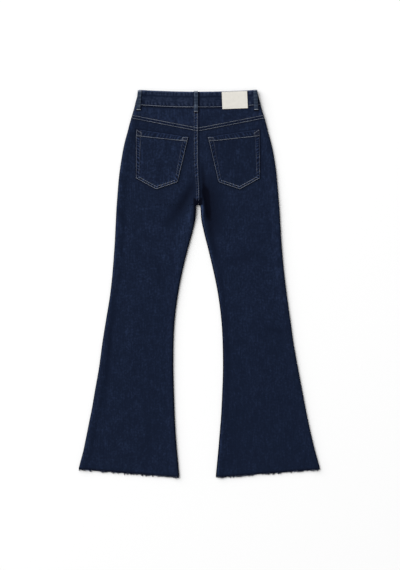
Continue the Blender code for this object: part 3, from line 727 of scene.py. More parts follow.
# --------------------------------------------------------------------------------------------------
# Back yokes. The same denim, from the waistband down to a lapped seam, sewn with two rows of heavy thread.
# The wash has roped the cloth between the rows, in short puckers that are rubbed pale on top.
BAND_DEPTH = 0.0440
BACK_DIP = 0.0054
BACK_BEND = 1.5
BACK_FOOT_DIP = 0.0069  # the band is deeper at the centre
WAIST = 0.1683
YOKE_ROWS = (0.0016, 0.0095)  # up from the seam's edge
YOKE_ROWS_START = 0.0015  # in from the outseam
YOKE_ROWS_STOP = (-0.0006, 0.0012)  # past the centre seam's edge, left and right
CENTRE_ROWS_DOWN = (0.0520, CROTCH - 0.0115)
YOKE_BAND = Band(rise=0.0007, wide=0.0102, slope=0.0040)
ROPE_RISE = 0.00016
YOKE_RUBBED = (0.03, 0.015)  # left and right
YOKE_WORN = (-0.05, -0.09)  # its thread
YOKE_ROPES_PALE = 0.12
# painted shadow below the waistband's lower edge
BAND_SHADOW = Line(wide=0.0026, pale=-0.30)
BETWEEN_ROWS = Line(wide=0.0028, pale=-0.12, at=sum(YOKE_ROWS) / 2)
ABOVE_ROWS = Line(wide=0.0012, pale=-0.06, at=YOKE_ROWS[1] + 0.0018)
LOOP_FEET = ((-0.0061, 0.0630), (-0.1695, 0.0566), (0.1662, 0.0572))  # of the belt loops, whose painted shadows fall here
# painted shadow below a loop's foot, and its half width
LOOP_FOOT_SHADOW = Line(wide=0.0019, pale=-1.10, at=0.0012)
LOOP_FOOT_SHADOW_HALF = 0.0062
LOOP_SIDE_SHADOW = Line(wide=0.0018, pale=-0.50, at=0.0074)  # painted shadow cast to the right of its middle
CENTRE_WORN = (-0.36, -0.46, -0.08, -0.26)  # the centre seam's left row above and below, then its right row
STITCH_PITCH = 0.0031
STITCH_LENGTH = 0.0029
STITCH_RADIUS = 0.00040
THREAD_SUNK = 0.35  # share of a stitch's radius that is pulled into the cloth


def band_edge(across, dip, bend=2.0):
    """How far down the waist's top edge is: its dip at the centre, less by a power of the share across."""
    return dip * (1 - np.abs(across / WAIST) ** bend)


def yoke_ropes(across, down):
    """The puckers between the yoke's two rows of thread."""
    off = yoke_seam(across) - down - sum(YOKE_ROWS) / 2
    return roped(across, off, pitch=0.0080, reach=0.0045)


def yoke_face(across, down):
    """Height of the yokes' outer face: the back's, the felled seam, the lapped edge and its puckers."""
    lap = banded(YOKE_BAND, yoke_seam(across) - down) + ROPE_RISE * yoke_ropes(across, down)
    return back_face(across, down) + felled(across, down) + lap


def back_top(across, down):
    """Height of whichever is there, yoke or leg panel."""
    return np.where(down < yoke_seam(across), yoke_face(across, down), leg_face(across, down))


def stitches(path, pitch=STITCH_PITCH, length=STITCH_LENGTH):
    """Starts and ends of the stitches that fill a path of places, evenly by its length."""
    path = np.asarray(path, float)
    at = np.append(0, np.cumsum(np.hypot(*np.diff(path, axis=0).T)))
    count = max(1, round(at[-1] / pitch))
    middle = (np.arange(count) + 0.5) * at[-1] / count
    reach = length / 2 * np.array([-1, 1])[:, None]
    return np.stack([np.interp(middle + reach, at, path[:, k]) for k in (0, 1)], axis=2)


def bartack(middle, turn, long, high, pitch=0.00055):
    """Starts and ends of a bar of close stitches: a zigzag of its height along its length, turned."""
    count = round(long / pitch)
    along = (np.arange(count) - (count - 1) / 2) * pitch
    lean = np.where(np.arange(count) % 2, pitch, -pitch) / 2
    ends = np.array([[along - lean, along + lean], [0 * along - high / 2, 0 * along + high / 2]])
    rotate = np.array([[cos(turn), -sin(turn)], [sin(turn), cos(turn)]])
    return np.einsum("ij,jkn->kni", rotate, ends) + np.asarray(middle, float)


def seam_row(across, down):
    """Stitches along a line whose places are given as across and as down."""
    return stitches(np.column_stack(np.broadcast_arrays(across, down)))


def tube(rings, around, flip=False):
    """Quads between a tube's rings: from a point to the next one round and to the next ring, or flipped."""
    ring, side = np.meshgrid(np.arange(rings - 1) * around, np.arange(around), indexing="ij")
    after = (side + 1) % around
    corners = [ring + side, ring + after, ring + around + after, ring + around + side]
    quads = np.stack(corners, axis=2).reshape(-1, 4)
    return quads[:, [0, 3, 2, 1]] if flip else quads


def repeated(faces, points, count):
    """The faces of one shape for each of its copies, whose points follow one after another."""
    return (np.arange(count)[:, None, None] * points + faces).reshape(-1, 4)


def thread(name, ends, face, radius=STITCH_RADIUS, up=True, worn=0.0, sunk=THREAD_SUNK):
    """Joined stitches on a face: each is a six-sided bead along its line, thin at its ends, which dip in.

    worn is how much lighter each path's thread is, or how much darker below 0. sunk is the share of its
    radius that a stitch is pulled into the cloth.
    """
    start, end = np.concatenate(ends, axis=1)
    shade = np.repeat(np.broadcast_to(worn, len(ends)), [path.shape[1] for path in ends])
    t = np.array([-1.0, -0.7, 0.0, 0.7, 1.0])
    swell = np.array([0.35, 0.85, 1.0, 0.85, 0.35])
    angle = np.arange(6) * pi / 3
    size = len(t) * len(angle)
    out = 1 if up else -1
    place = (start + end)[:, None] / 2 + t[:, None] * (end - start)[:, None] / 2
    height = face(place[..., 0], place[..., 1]) + out * radius * (1 - sunk - 0.8 * t**2)
    run = (end - start) / np.hypot(*(end - start).T)[:, None]
    away = radius * swell[:, None] * np.cos(angle)
    rise = radius * swell[:, None] * np.sin(angle)
    across = place[..., 0, None] + run[:, 1, None, None] * away
    down = place[..., 1, None] - run[:, 0, None, None] * away
    points = points_at(across, down, height[..., None] + rise).reshape(-1, 3)
    first = np.array([[0, 5, 4, 1], [1, 4, 3, 2]])
    last = size - len(angle) + np.array([[0, 1, 4, 5], [1, 2, 3, 4]])
    faces = repeated(np.concatenate([tube(len(t), len(angle)), first, last]), size, len(start))
    piece = sewn(name, points, [faces], STONE_THREAD, np.repeat(shade, size))
    return piece


# Corespun polyester and cotton thread, dyed stone grey and stained by the indigo: matt, with a fine twist.
STONE_THREAD, tree, shader = finish_of(
    "stone grey topstitch thread", {"Roughness": 0.7, "Specular IOR Level": 0.25}
)
where = add(tree, "ShaderNodeTexCoord").outputs["Object"]
# the thread's plies turn once in about a millimetre; its dye varies over some centimetres
dye = add(tree, "ShaderNodeTexNoise", {"Vector": where, "Scale": 60.0, "Detail": 3.0}).outputs["Fac"]
worn = add(tree, "ShaderNodeAttribute", attribute_name="rubbed").outputs["Fac"]
dyed = add(tree, "ShaderNodeMath", {0: dye, 1: worn}).outputs["Value"]
tone = add(tree, "ShaderNodeMapRange", {"Value": dyed, "From Min": 0.0, "From Max": 1.0}).outputs["Result"]
tones = {"A": linear("#32384B"), "B": linear("#B5BCC7")}
colour = add(tree, "ShaderNodeMix", {"Factor": tone, **tones}, data_type="RGBA")
plies = add(
    tree, "ShaderNodeTexWave", {"Vector": where, "Scale": pi / 10 / 0.0009}, bands_direction="DIAGONAL"
).outputs["Fac"]
bump = add(tree, "ShaderNodeBump", {"Height": plies, "Strength": 0.4, "Distance": 0.00015})
feed(shader, {"Base Color": colour.outputs["Result"], "Normal": bump.outputs["Normal"]})


def band_foot(across):
    """How far down the back waistband's lower edge is."""
    return band_edge(across, BACK_FOOT_DIP) + BAND_DEPTH


def yoke_top(across):
    """Upper edge of a yoke: a gap below the waistband."""
    return band_foot(across) + GAP


for side, name in SIDES:
    across, down = spread(
        partial(outer_edge, side),
        partial(inner_edge, side),
        yoke_top,
        yoke_seam,
        rolled_columns(roll=9, between=90),
        rows=np.linspace(0, 1, 38),
    )
    upper = yoke_face(across, down)
    rub = YOKE_RUBBED[side > 0] + leg_wear_and_shading(across, down) + YOKE_ROPES_PALE * yoke_ropes(across, down)
    rub = rub + drawn(down - yoke_top(across), BAND_SHADOW)
    rub = rub + drawn(yoke_seam(across) - down, BETWEEN_ROWS, ABOVE_ROWS)
    for middle, foot in LOOP_FEET:
        rub = rub + drawn(down - foot, LOOP_FOOT_SHADOW) * bell(across - middle, LOOP_FOOT_SHADOW_HALF, 6)
        rub = rub + drawn(across - middle, LOOP_SIDE_SHADOW) * passed((0, 0.0015), foot - down)
    yoke = cloth(f"cloth_back_yoke_{name}", across, down, upper, upper - WALL, DENIM, rub)
    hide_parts(f"back_yoke_{name}")
    laid(across, down)
    stop = along_seam(SEAM_EDGE, YOKE_CENTRE) + YOKE_ROWS_STOP[side > 0]
    rows = []
    for up in YOKE_ROWS:
        places = np.linspace(side * (outseam(YOKE_SIDE - up) - YOKE_ROWS_START), stop, 60)
        rows.append(seam_row(places, yoke_seam(places) - up))
    thread(f"thread_back_yoke_{name}", rows, yoke_face, worn=YOKE_WORN[side > 0])

places = np.linspace(*CENTRE_ROWS_DOWN, 90)
rows = [
    seam_row(along_seam(row, part), part)
    for row, bend in ((SEAM_LEFT_ROW, 50), (SEAM_RIGHT_ROW, 60))
    for part in (places[:bend], places[bend:])
]
thread("thread_centre_back", rows, back_top, worn=CENTRE_WORN)

# --------------------------------------------------------------------------------------------------
# Back patch pockets. Five-sided, with a deep turned hem at the mouth, sewn on with two rows that part towards
# the hem, and with a small stitched box at each upper corner. They lie on the leg panels.
POINT_SHARE = 4 / 7
Row = namedtuple("Row", "mouth side foot")  # in from the sides at the mouth and lower down, and from the foot
OUTER_ROW = Row(mouth=0.0015, side=0.0015, foot=0.0015)
INNER_ROW = Row(mouth=0.0142, side=0.0083, foot=0.0074)
HEM_ROW = (0.0178, 0.0118)  # below the mouth at its outer and inner ends
BOX_WIDTH = 0.0160
BOX_SLANTS = (0.0072, 0.0022)  # how much further down a box's top is at its end, outer and inner box
BOX_FILLS = (0.3, 0.55, 0.8)
BOX_PALE = -0.14
BOX_REACH = 0.0070  # of its shade, from its middle
BOX_BELOW = (0.0030, 0.0060)  # below the mouth, between which the shade starts
POCKET_BAND = Band(rise=0.0006, wide=0.0100, slope=0.0030)
MOUTH_BAND = Band(rise=0.0009, wide=0.0135, slope=0.0025)
EDGE_ROUND = 0.0011
TOP_ROW_DOWN = 0.0014  # of a box, below the mouth
POCKET_RUBBED = (0.01, -0.02)  # left and right
MOUTH_ROPES = 0.0080  # below the mouth, the middle of its puckers
SIDE_ROPES = 0.0060  # and in from the other sides
POCKET_ROPES_PALE = 0.26
MOUTH_LINE = Line(wide=0.0014, pale=0.12)
SIDE_LINES = (Line(wide=0.0010, pale=-0.14), Line(wide=0.0024, pale=-0.09, at=0.0049))
HEM_LINE = Line(wide=0.0013, pale=-0.15, at=0.0018)
# how worn each path is: both rows' outer side, foot and inner side, the hem, then the boxes and their rows
POCKET_WORN = (-0.26, -0.06, -0.22, -0.42, -0.10, -0.45, 0.02, *2 * (-0.06, -0.26, -0.62, -0.62, -0.50))
OUTER_ROW_WORN = ((0.0, 0.10, 0.02), (-0.16, 0.04, 0.02))  # added for the outer row, left and right


def meeting(line, inset, other, other_inset):
    """The place that is one inset from one line and another inset from the other line."""
    rows, values = [], []
    for (a, b), off in ((line, inset), (other, other_inset)):
        run = np.subtract(b, a) / np.hypot(*np.subtract(b, a))
        rows.append([run[1], -run[0]])
        values.append(off + a.across * run[1] - a.down * run[0])
    return np.linalg.solve(rows, values)


def rounded(near, radius):
    """Drop of a folded edge: a quarter circle over its last stretch."""
    return radius * (1 - np.sqrt(1 - (1 - np.clip(near / radius, 0, 1)) ** 2))


def pocket_face(across, down):
    """Height of a pocket's outer face: the leg panel's, one wall up, thicker at its hem and turned edges."""
    side = np.abs(across)
    offs = [from_line(line, side, down) for line in POCKET_SIDES]
    near = np.min([off for off, _ in offs], axis=0)
    below = from_line(MOUTH, side, down)[0]
    turned = np.maximum(banded(POCKET_BAND, near), banded(MOUTH_BAND, below))
    edge = rounded(np.minimum(near, below), EDGE_ROUND)
    return leg_face(across, down) + GAP + WALL + turned + ROPE_RISE * pocket_ropes(across, down) - edge


def pocket_ropes(across, down):
    """The puckers between the pocket's rows of thread, along each of its sides, and below its mouth."""
    side = np.abs(across)
    below, along = from_line(MOUTH, side, down)
    waves = 0.5 * roped(along, below - MOUTH_ROPES, pitch=0.0095, reach=0.0050)
    for line in POCKET_SIDES:
        off, along = from_line(line, side, down)
        waves = waves + roped(along, off - SIDE_ROPES, pitch=0.0088, reach=0.0040)
    return waves


def close_ends(width, edge, between):
    """Shares of a width: even steps, with closer ones over the rounded edge at both ends."""
    close = edge * np.array([0, 0.13, 0.5, 1.0])
    even = np.linspace(close[-1], width - close[-1], between + 2)[1:-1]
    return np.concatenate([close, even, width - close[::-1]]) / width


def pocket_places():
    """Straight lines from the mouth to the foot, whose corner is the point."""
    t = np.sort(np.append(close_ends(0.140, EDGE_ROUND, 92), POINT_SHARE))
    mouth_edge = np.outer(1 - t, POCKET_OUTER_TOP) + np.outer(t, POCKET_INNER_TOP)
    feet = np.array([POCKET_OUTER_FOOT, POCKET_POINT, POCKET_INNER_FOOT])
    foot = np.stack([np.interp(t, [0, POINT_SHARE, 1], feet[:, k]) for k in (0, 1)], axis=1)
    rows = close_ends(0.145, EDGE_ROUND, 88)[:, None, None]
    return np.moveaxis(mouth_edge * (1 - rows) + foot * rows, 2, 0)


def pocket_row(row):
    """Paths of one row of thread: down the outer side, round the foot, and up the inner side."""
    outer_foot = meeting(OUTER_SIDE, row.side, OUTER_FOOT, row.foot)
    point = meeting(OUTER_FOOT, row.foot, INNER_FOOT, row.foot)
    inner_foot = meeting(INNER_FOOT, row.foot, INNER_SIDE, row.side)
    outer_top = meeting(MOUTH, 0.0010, OUTER_SIDE, row.mouth)
    inner_top = meeting(INNER_SIDE, row.mouth, MOUTH, 0.0010)
    return [[outer_top, outer_foot], [outer_foot, point, inner_foot], [inner_foot, inner_top]]


def pocket_box(line, hem_down, slant):
    """Paths of the box at one upper corner: its slanted top, its inner end, and the rows that fill it."""
    corner = meeting(MOUTH, TOP_ROW_DOWN, line, OUTER_ROW.side)
    end = meeting(MOUTH, TOP_ROW_DOWN + slant, line, BOX_WIDTH)
    foot, foot_end = (meeting(MOUTH, hem_down, line, inset) for inset in (OUTER_ROW.side, BOX_WIDTH))
    fills = [[corner * (1 - t) + foot * t, end * (1 - t) + foot_end * t] for t in BOX_FILLS]
    return [[corner, end], [end, foot_end], *fills]


pocket_across, pocket_down = pocket_places()
hem_ends = [
    meeting(MOUTH, HEM_ROW[0], OUTER_SIDE, OUTER_ROW.side),
    meeting(MOUTH, HEM_ROW[1], INNER_SIDE, OUTER_ROW.side),
]
pocket_threads = [*pocket_row(OUTER_ROW), *pocket_row(INNER_ROW), hem_ends]
for line, hem_down, slant in zip((OUTER_SIDE, INNER_SIDE), HEM_ROW, BOX_SLANTS):
    pocket_threads += pocket_box(line, hem_down, slant)
# the same denim, more mottled, because a pocket is rubbed from both sides
POCKET_DENIM = denim("rinsed indigo denim, rubbed pocket", 0.0, "#010310", "#0F182B", "#3B4C72", 1.20)
below, along = from_line(MOUTH, pocket_across, pocket_down)
past_hem = below - HEM_ROW[0] - (HEM_ROW[1] - HEM_ROW[0]) * along / np.hypot(*np.subtract(*MOUTH))
insets = [from_line(line, pocket_across, pocket_down)[0] for line in POCKET_SIDES]
near, beside = np.min(insets, axis=0), np.minimum(insets[0], insets[-1])
in_box = bell(near - BOX_WIDTH / 2, BOX_REACH, 6) * passed(BOX_BELOW, below)
box = BOX_PALE * in_box * (past_hem < 0) * (beside < BOX_WIDTH + 0.0010)
pocket_rub = drawn(below, MOUTH_LINE) + drawn(near, *SIDE_LINES) + drawn(past_hem, HEM_LINE) + box
for side, name in SIDES:
    mirror = np.array([side, 1])
    across, down = side * pocket_across, pocket_down
    rub = POCKET_RUBBED[side > 0] + pocket_rub + POCKET_ROPES_PALE * pocket_ropes(across, down)
    upper, lower = pocket_face(across, down), leg_face(across, down) + GAP
    pocket = cloth(f"cloth_back_pocket_{name}", across, down, upper, lower, POCKET_DENIM, rub)
    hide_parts(f"back_pocket_{name}")
    laid(across, down)
    paths = [stitches(np.array(path) * mirror) for path in pocket_threads]
    worn = np.array(POCKET_WORN)
    worn[:3] += OUTER_ROW_WORN[side > 0]
    thread(f"thread_back_pocket_{name}", paths, pocket_face, worn=worn)

# --------------------------------------------------------------------------------------------------
# Front leg panels. They lie on the paper, face down: the same denim, cut away in a scoop at each pocket
# mouth, with a curved double row beside the fly on the wearer's left, and a facing of the same cloth behind
# each mouth.
FRONT_DIP = 0.0180
MOUTH_WIDE = 0.0850
MOUTH_DEEP = 0.0640
MOUTH_GAP = 0.0004
MOUTH_ROWS = (0.0022, 0.0086)  # in from the mouth's cut edge
FLY_ROWS = (-0.0380, -0.0440)
FLY_STRAIGHT = 0.150  # down, where the fly's rows start to curve to the centre
FLY_FOOT = 0.196
FRONT_ROWS = (-0.0014, -0.0076)  # of the centre front seam, below the fly
FRONT_ROWS_DOWN = (FLY_FOOT + 0.002, CROTCH - 0.004)
FRONT_SUNK = 1.5  # the paper presses these stitches into the cloth
# creases of the front; their dye below 0 is painted shade in the hollows
FRONT_CREASES = (
    Crease(start=(-0.020, 0.335), end=(-0.110, 0.400), width=0.0120, rise=0.0007, bow=0.004, dye=-0.14),
    Crease(start=(0.020, 0.335), end=(0.105, 0.420), width=0.0140, rise=0.0007, bow=-0.005, dye=-0.12),
    Crease(start=(-0.012, 0.300), end=(-0.080, 0.270), width=0.0090, rise=0.0006, bow=0.003, dye=-0.12),
    Crease(start=(0.012, 0.306), end=(0.092, 0.262), width=0.0100, rise=0.0006, bow=-0.004, dye=-0.10),
    Crease(start=(-0.090, 0.560), end=(-0.215, 0.600), width=0.0100, rise=0.0006, bow=0.004, dye=-0.05),
    Crease(start=(0.085, 0.610), end=(0.230, 0.585), width=0.0110, rise=0.0006, bow=0.005, dye=-0.05),
    Crease(start=(0.180, 0.700), end=(0.215, 0.980), width=0.0150, rise=0.0006, bow=0.003, dye=-0.04),
    Crease(start=(-0.150, 0.720), end=(-0.170, 1.000), width=0.0160, rise=0.0006, bow=-0.004, dye=-0.04),
)


def front_face(across, down, wall=WALL, proud=0.0):
    """Height of the front's outer, lower face: the pile's underside, hollowed by creases, turned in."""
    low = under(across, down)
    high = through(PILE, down) + PILE_LIFT * hump(across, down, PILE_REACH)
    edge = (low + high) / 2 - wall - GAP / 2 + CROTCH_LIFT * hump(across, down, CROTCH_REACH, CROTCH)
    open_face = low - proud + sum(c.rise * crease(c, across, down) for c in FRONT_CREASES)
    return open_face + turned_in(across, down) * (edge - open_face)


def front_top(across):
    """Upper edge of the front panels: the waistband's lower edge, a gap below it."""
    return band_edge(across, FRONT_DIP) + BAND_DEPTH + GAP


MOUTH_TOP = front_top(outseam(BAND_DEPTH) - MOUTH_WIDE)
FACING_FOOT = MOUTH_TOP + (MOUTH_DEEP - MOUTH_GAP) * sin(radians(86))  # short of the mouth's sharp end


def mouth(down, grow):
    """How far in from the outseam a pocket's mouth is: a quarter ellipse, grown by a margin."""
    deep = np.clip((down - MOUTH_TOP) / (MOUTH_DEEP + grow), 0, 1)
    return (MOUTH_WIDE + grow) * np.sqrt(1 - deep**2)


def mouth_edge(side, grow, down):
    """Edge of a pocket's mouth, grown by a margin, on its side."""
    return side * (outseam(down) - mouth(down, grow))


def front_inner_edge(side, down):
    """Inner edge of a front panel: the centre front seam above the crotch and the inseam below."""
    return side * np.where(down < CROTCH + GAP, GAP / 2, through(INSEAM, down))


def mouth_path(side, grow):
    """Path along a mouth's curve, grown by a margin, from the waistband to the outseam."""
    down = MOUTH_TOP + (MOUTH_DEEP + grow) * np.sin(np.linspace(0.02, pi / 2, 60))
    return np.column_stack([mouth_edge(side, grow, down), down])[:-1]


def fly_path(row):
    """Path of one of the fly's rows: straight down, then a quarter ellipse in to the centre seam."""
    turn = np.linspace(0, pi / 2, 30)
    deep = FLY_FOOT - FLY_STRAIGHT - row / 6
    curve = np.column_stack([row * np.cos(turn), FLY_STRAIGHT + deep * np.sin(turn)])
    return np.vstack([[row, front_top(row) + 0.001], curve[:-2]])


# row shares of a front panel: even along the mouth's curve, and below it, with one on each side of the crotch
curve = np.sin(np.linspace(0, pi / 2, 26))
mouth_end = MOUTH_TOP + MOUTH_DEEP + MOUTH_GAP
side_top = front_top(outseam(mouth_end))
first = (mouth_end - side_top) / (hem(outseam(mouth_end)) - side_top)
past = first + (1 - first) * np.linspace(0, 1, 230)[1:]
corner = (np.array([CROTCH, CROTCH + 4 * GAP]) - front_top(0.0)) / (HEM_INSEAM - front_top(0.0))
past = past[np.abs(past - corner.mean()) > 0.0022]
front_rows = np.sort(np.concatenate([first * curve, past, corner]))
for side, name in SIDES:
    across, down = spread(
        partial(mouth_edge, side, MOUTH_GAP),
        partial(front_inner_edge, side),
        front_top,
        hem,
        rolled_columns(roll=6, between=50),
        front_rows,
        rounds=100,
        step=0.2,
    )
    lower = front_face(across, down)
    rub = edge_painted_shading(across, down) + sum(c.dye * crease(c, across, down) for c in FRONT_CREASES)
    panel = cloth(f"cloth_front_panel_{name}", across, down, lower + WALL, lower, DENIM, rub)
    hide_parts(f"front_panel_{name}")
    laid(across, down)

    across, down = spread(
        partial(outer_edge, side),
        partial(mouth_edge, side, -MOUTH_GAP),
        front_top,
        lambda across: np.full_like(across, FACING_FOOT),
        (np.zeros(30), np.linspace(0, 1, 30)),
        rows=np.sin(np.linspace(0, pi / 2, 30)),
    )
    lower = front_face(across, down)
    facing = cloth(f"cloth_front_pocket_facing_{name}", across, down, lower + WALL, lower, DENIM)
    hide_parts(f"front_pocket_facing_{name}")
    laid(across, down)

    rows = [stitches(mouth_path(side, MOUTH_GAP + row)) for row in MOUTH_ROWS]
    if side < 0:
        places = np.linspace(*FRONT_ROWS_DOWN, 50)
        rows += [stitches(fly_path(row)) for row in FLY_ROWS]
        rows += [seam_row(row, places) for row in FRONT_ROWS]
    thread(f"thread_front_panel_{name}", rows, front_face, up=False, sunk=FRONT_SUNK)

# --------------------------------------------------------------------------------------------------
# Fly. A brass zip on navy tape, sewn between the front panels' edges, with a shield of denim behind it. It is
# closed, so its slider stays at the top.
ZIP_MIDDLE = -0.0040
ZIP_HALF = 0.0130
ZIP_ENDS = (0.0795, 0.1950)
TAPE_WALL = 0.0010
TAB_ROOM = 0.0011
TAB_ENDS = (0.096, 0.118)
SHIELD_ENDS = (0.0637, 0.2000)
SHIELD_EDGES = (-0.0320, 0.0160)
TOOTH_PITCH = 0.0021
TOOTH = (0.0044, 0.0013, 0.0007)  # across, along and thick
TOOTH_SUNK = 0.0002  # how far a tooth's middle is up in the tape


def tape_face(across, down):
    """Height of the tape's lower face: one wall above the front panels, and higher where the tab hangs."""
    return under(across, down) + WALL + GAP + TAB_ROOM * (1 - passed(TAB_ENDS, down))


def toothed(middle, down, height, size):
    """Joined boxes, one a tooth: eight corners round each place, and six faces."""
    near = np.array([[x, y, z] for z in (-0.5, 0.5) for y in (-0.5, 0.5) for x in (-0.5, 0.5)]) * size
    points = points_at(middle, down, height)[:, None] + near
    box = np.array([[0, 2, 3, 1], [4, 5, 7, 6], [0, 1, 5, 4], [2, 6, 7, 3], [0, 4, 6, 2], [1, 3, 7, 5]])
    return points.reshape(-1, 3), [repeated(box, len(near), len(down))]


# Polyester zip tape, woven in a fine herringbone: flat and slightly shiny.
tape_navy, tree, shader = finish_of("navy zip tape", {"Roughness": 0.6, "Specular IOR Level": 0.3})
where = add(tree, "ShaderNodeTexCoord").outputs["Object"]
# its ribs are 1 mm apart
rib_scale = pi / 10 / 0.0010
ribs = add(
    tree, "ShaderNodeTexWave", {"Vector": where, "Scale": rib_scale, "Distortion": 1.0}, bands_direction="X"
).outputs["Fac"]
tones = {"A": linear("#0F1628"), "B": linear("#1C2740")}
colour = add(tree, "ShaderNodeMix", {"Factor": ribs, **tones}, data_type="RGBA")
bump = add(tree, "ShaderNodeBump", {"Height": ribs, "Strength": 0.5, "Distance": 0.0002})
feed(shader, {"Base Color": colour.outputs["Result"], "Normal": bump.outputs["Normal"]})

# Brass, stamped and tumbled to an old finish: warm, half dull, with darker patches where it has tarnished.
aged_brass, tree, shader = finish_of("aged brass", {"Metallic": 1.0})
where = add(tree, "ShaderNodeTexCoord").outputs["Object"]
# tarnish comes in patches of about 2 mm
tarnish = add(tree, "ShaderNodeTexNoise", {"Vector": where, "Scale": 480.0, "Detail": 4.0}).outputs["Fac"]
tones = {"A": linear("#6E5430"), "B": linear("#C9A56A")}
colour = add(tree, "ShaderNodeMix", {"Factor": tarnish, **tones}, data_type="RGBA")
dull = add(tree, "ShaderNodeMapRange", {"Value": tarnish, "To Min": 0.5, "To Max": 0.25})
feed(shader, {"Base Color": colour.outputs["Result"], "Roughness": dull.outputs["Result"]})

across, down = np.meshgrid(ZIP_MIDDLE + np.linspace(-ZIP_HALF, ZIP_HALF, 14), np.linspace(*ZIP_ENDS, 50))
lower = tape_face(across, down)
tape = cloth("cloth_zip_tape", across, down, lower + TAPE_WALL, lower, tape_navy)
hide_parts("zip")
laid(across, down)

down = np.arange(TAB_ENDS[0] + 0.004, ZIP_ENDS[1] - 0.006, TOOTH_PITCH / 2)
middle = ZIP_MIDDLE + np.where(np.arange(len(down)) % 2, 1, -1) * TOOTH[0] / 5
teeth = sewn("zip_teeth", *toothed(middle, down, tape_face(middle, down) + TOOTH_SUNK, TOOTH), aged_brass)
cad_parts["zip_slider"].data.materials.clear()
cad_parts["zip_slider"].data.materials.append(aged_brass)

across, down = np.meshgrid(np.linspace(*SHIELD_EDGES, 24), np.linspace(*SHIELD_ENDS, 60))
lower = tape_face(across, down) + TAPE_WALL + GAP
shield = cloth("cloth_fly_shield", across, down, lower + WALL, lower, DENIM)
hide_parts("fly_shield")
laid(across, down)

# --------------------------------------------------------------------------------------------------
# Waistband. Two layers of denim round a stiffener, cut along the cloth, so that its warp runs round the
# waist: one piece over the back, folded over at the top, and two over the front, which lap at the button.
BAND_WALL = 0.0022
BAND_PROUD = 0.0005
BAND_ROW = 0.0022  # up from the lower edge
FOLD_ROUND = 0.0014
BAND_ROW_WORN = (0.16, -0.05)  # its left half and its right half
BAND_RUBBED = 0.042
FRONT_BAND_RUBBED = 0.08
BAND_ROPES_PALE = 0.09
STIFFENER_EDGE = 0.0150  # down from the top
GROOVE_DEEP = 0.00040
GROOVE_REACH = 0.0014
ROW_PULL = 0.00035  # how deep the row of thread pulls the band in
ROW_REACH = 0.0012
TOP_PUCKERS = 0.0065  # down from the top, the middle of these puckers
FOOT_PUCKERS = 0.0078  # and up from the foot
PUCKER_RISE = 0.00012
FOLD_LINES = (Line(wide=0.0030, pale=0.40), Line(wide=0.0018, pale=-0.13, at=STIFFENER_EDGE))  # from the top: paler wear along the fold, and painted shade in the stiffener's groove
FOOT_LINES = (Line(wide=0.0012, pale=-0.08, at=BAND_ROW + 0.0020), Line(wide=0.0010, pale=-0.10))
HOLE_ENDS = (-0.0120, 0.0040)
HOLE_HALF = 0.0028
HOLE_STITCH = 0.0024
OVERLAP = 0.0220
UNDERLAP = 0.0300
UNDERLAP_RISE = (0.036, 0.024)  # across, between which the button end rises onto the buttonhole end
# painted shadows on the band beside the loops, mostly to their right
LOOP_SHADES = (
    Line(wide=0.0010, pale=-0.42, at=-0.1611),
    Line(wide=0.0014, pale=-0.30, at=-0.0129),
    Line(wide=0.0028, pale=-0.42, at=0.0019),
    Line(wide=0.0026, pale=-0.70, at=0.1722),
)
BAND_DENIM = denim("rinsed indigo denim, warp across", pi / 2, "#010310", "#0F182B", "#434F6A", 1.0)


band_base = partial(back_face, wall=BAND_WALL, proud=BAND_PROUD)
front_band_base = partial(front_face, wall=BAND_WALL, proud=BAND_PROUD)


def band_depths(across, down):
    """Distances down from the back waistband's folded top and up from its foot."""
    return down - band_edge(across, BACK_DIP, BACK_BEND), band_foot(across) - down


def band_puckers(across, depth, above):
    """The band's puckers: along the top above the stiffener's edge, and above the thread at its foot."""
    top = roped(across, depth - TOP_PUCKERS, pitch=0.0092, reach=0.0060, slant=0.05)
    foot = roped(across + 0.003, FOOT_PUCKERS - above, pitch=0.0118, reach=0.0050, slant=-0.08)
    return 0.7 * top + foot


def band_face(across, down):
    """Height of the back waistband: the back's, with puckers, the stiffener's groove and rounded edges."""
    depth, above = band_depths(across, down)
    groove = GROOVE_DEEP * bell(depth - STIFFENER_EDGE, GROOVE_REACH)
    pulled = ROW_PULL * bell(above - BAND_ROW, ROW_REACH)
    edge = rounded(np.minimum(depth, above), FOLD_ROUND)
    puckers = PUCKER_RISE * band_puckers(across, depth, above)
    return band_base(across, down) + puckers - groove - pulled - edge


across, down = spread(
    lambda down: -outseam(down),
    outseam,
    lambda across: band_edge(across, BACK_DIP, BACK_BEND),
    band_foot,
    rolled_columns(roll=8, between=210),
    close_ends(BAND_DEPTH, FOLD_ROUND, 22),
)
depth, above = band_depths(across, down)
rub = BAND_RUBBED + BAND_ROPES_PALE * band_puckers(across, depth, above)
rub = rub + drawn(depth, *FOLD_LINES) + drawn(above, *FOOT_LINES) + drawn(across, *LOOP_SHADES)
lower = band_base(across, down) - BAND_WALL
band = cloth("cloth_waistband_back", across, down, band_face(across, down), lower, BAND_DENIM, rub)
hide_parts("waistband_back")
laid(across, down)
halves = [side * np.linspace(0, 1, 100) * (outseam(BAND_DEPTH) - 0.0012) for side in (-1, 1)]
rows = [seam_row(places, band_foot(places) - BAND_ROW) for places in halves]
thread("thread_waistband_back", rows, band_face, worn=BAND_ROW_WORN)


def front_band_face(across, down):
    """Height of the outer, lower face of the front waistband, with rounded edges."""
    depth = down - band_edge(across, FRONT_DIP)
    edge = rounded(np.minimum(depth, BAND_DEPTH - depth), FOLD_ROUND)
    return front_band_base(across, down) + edge


def front_band(name, across, down, rise=0.0, hole=None):
    """One half of the front waistband on its grid of places, raised where it lies on the other half."""
    lower = front_band_face(across, down) + rise
    upper = front_band_base(across, down) + BAND_WALL + rise
    return cloth(f"cloth_{name}", across, down, upper, lower, BAND_DENIM, FRONT_BAND_RUBBED, hole)


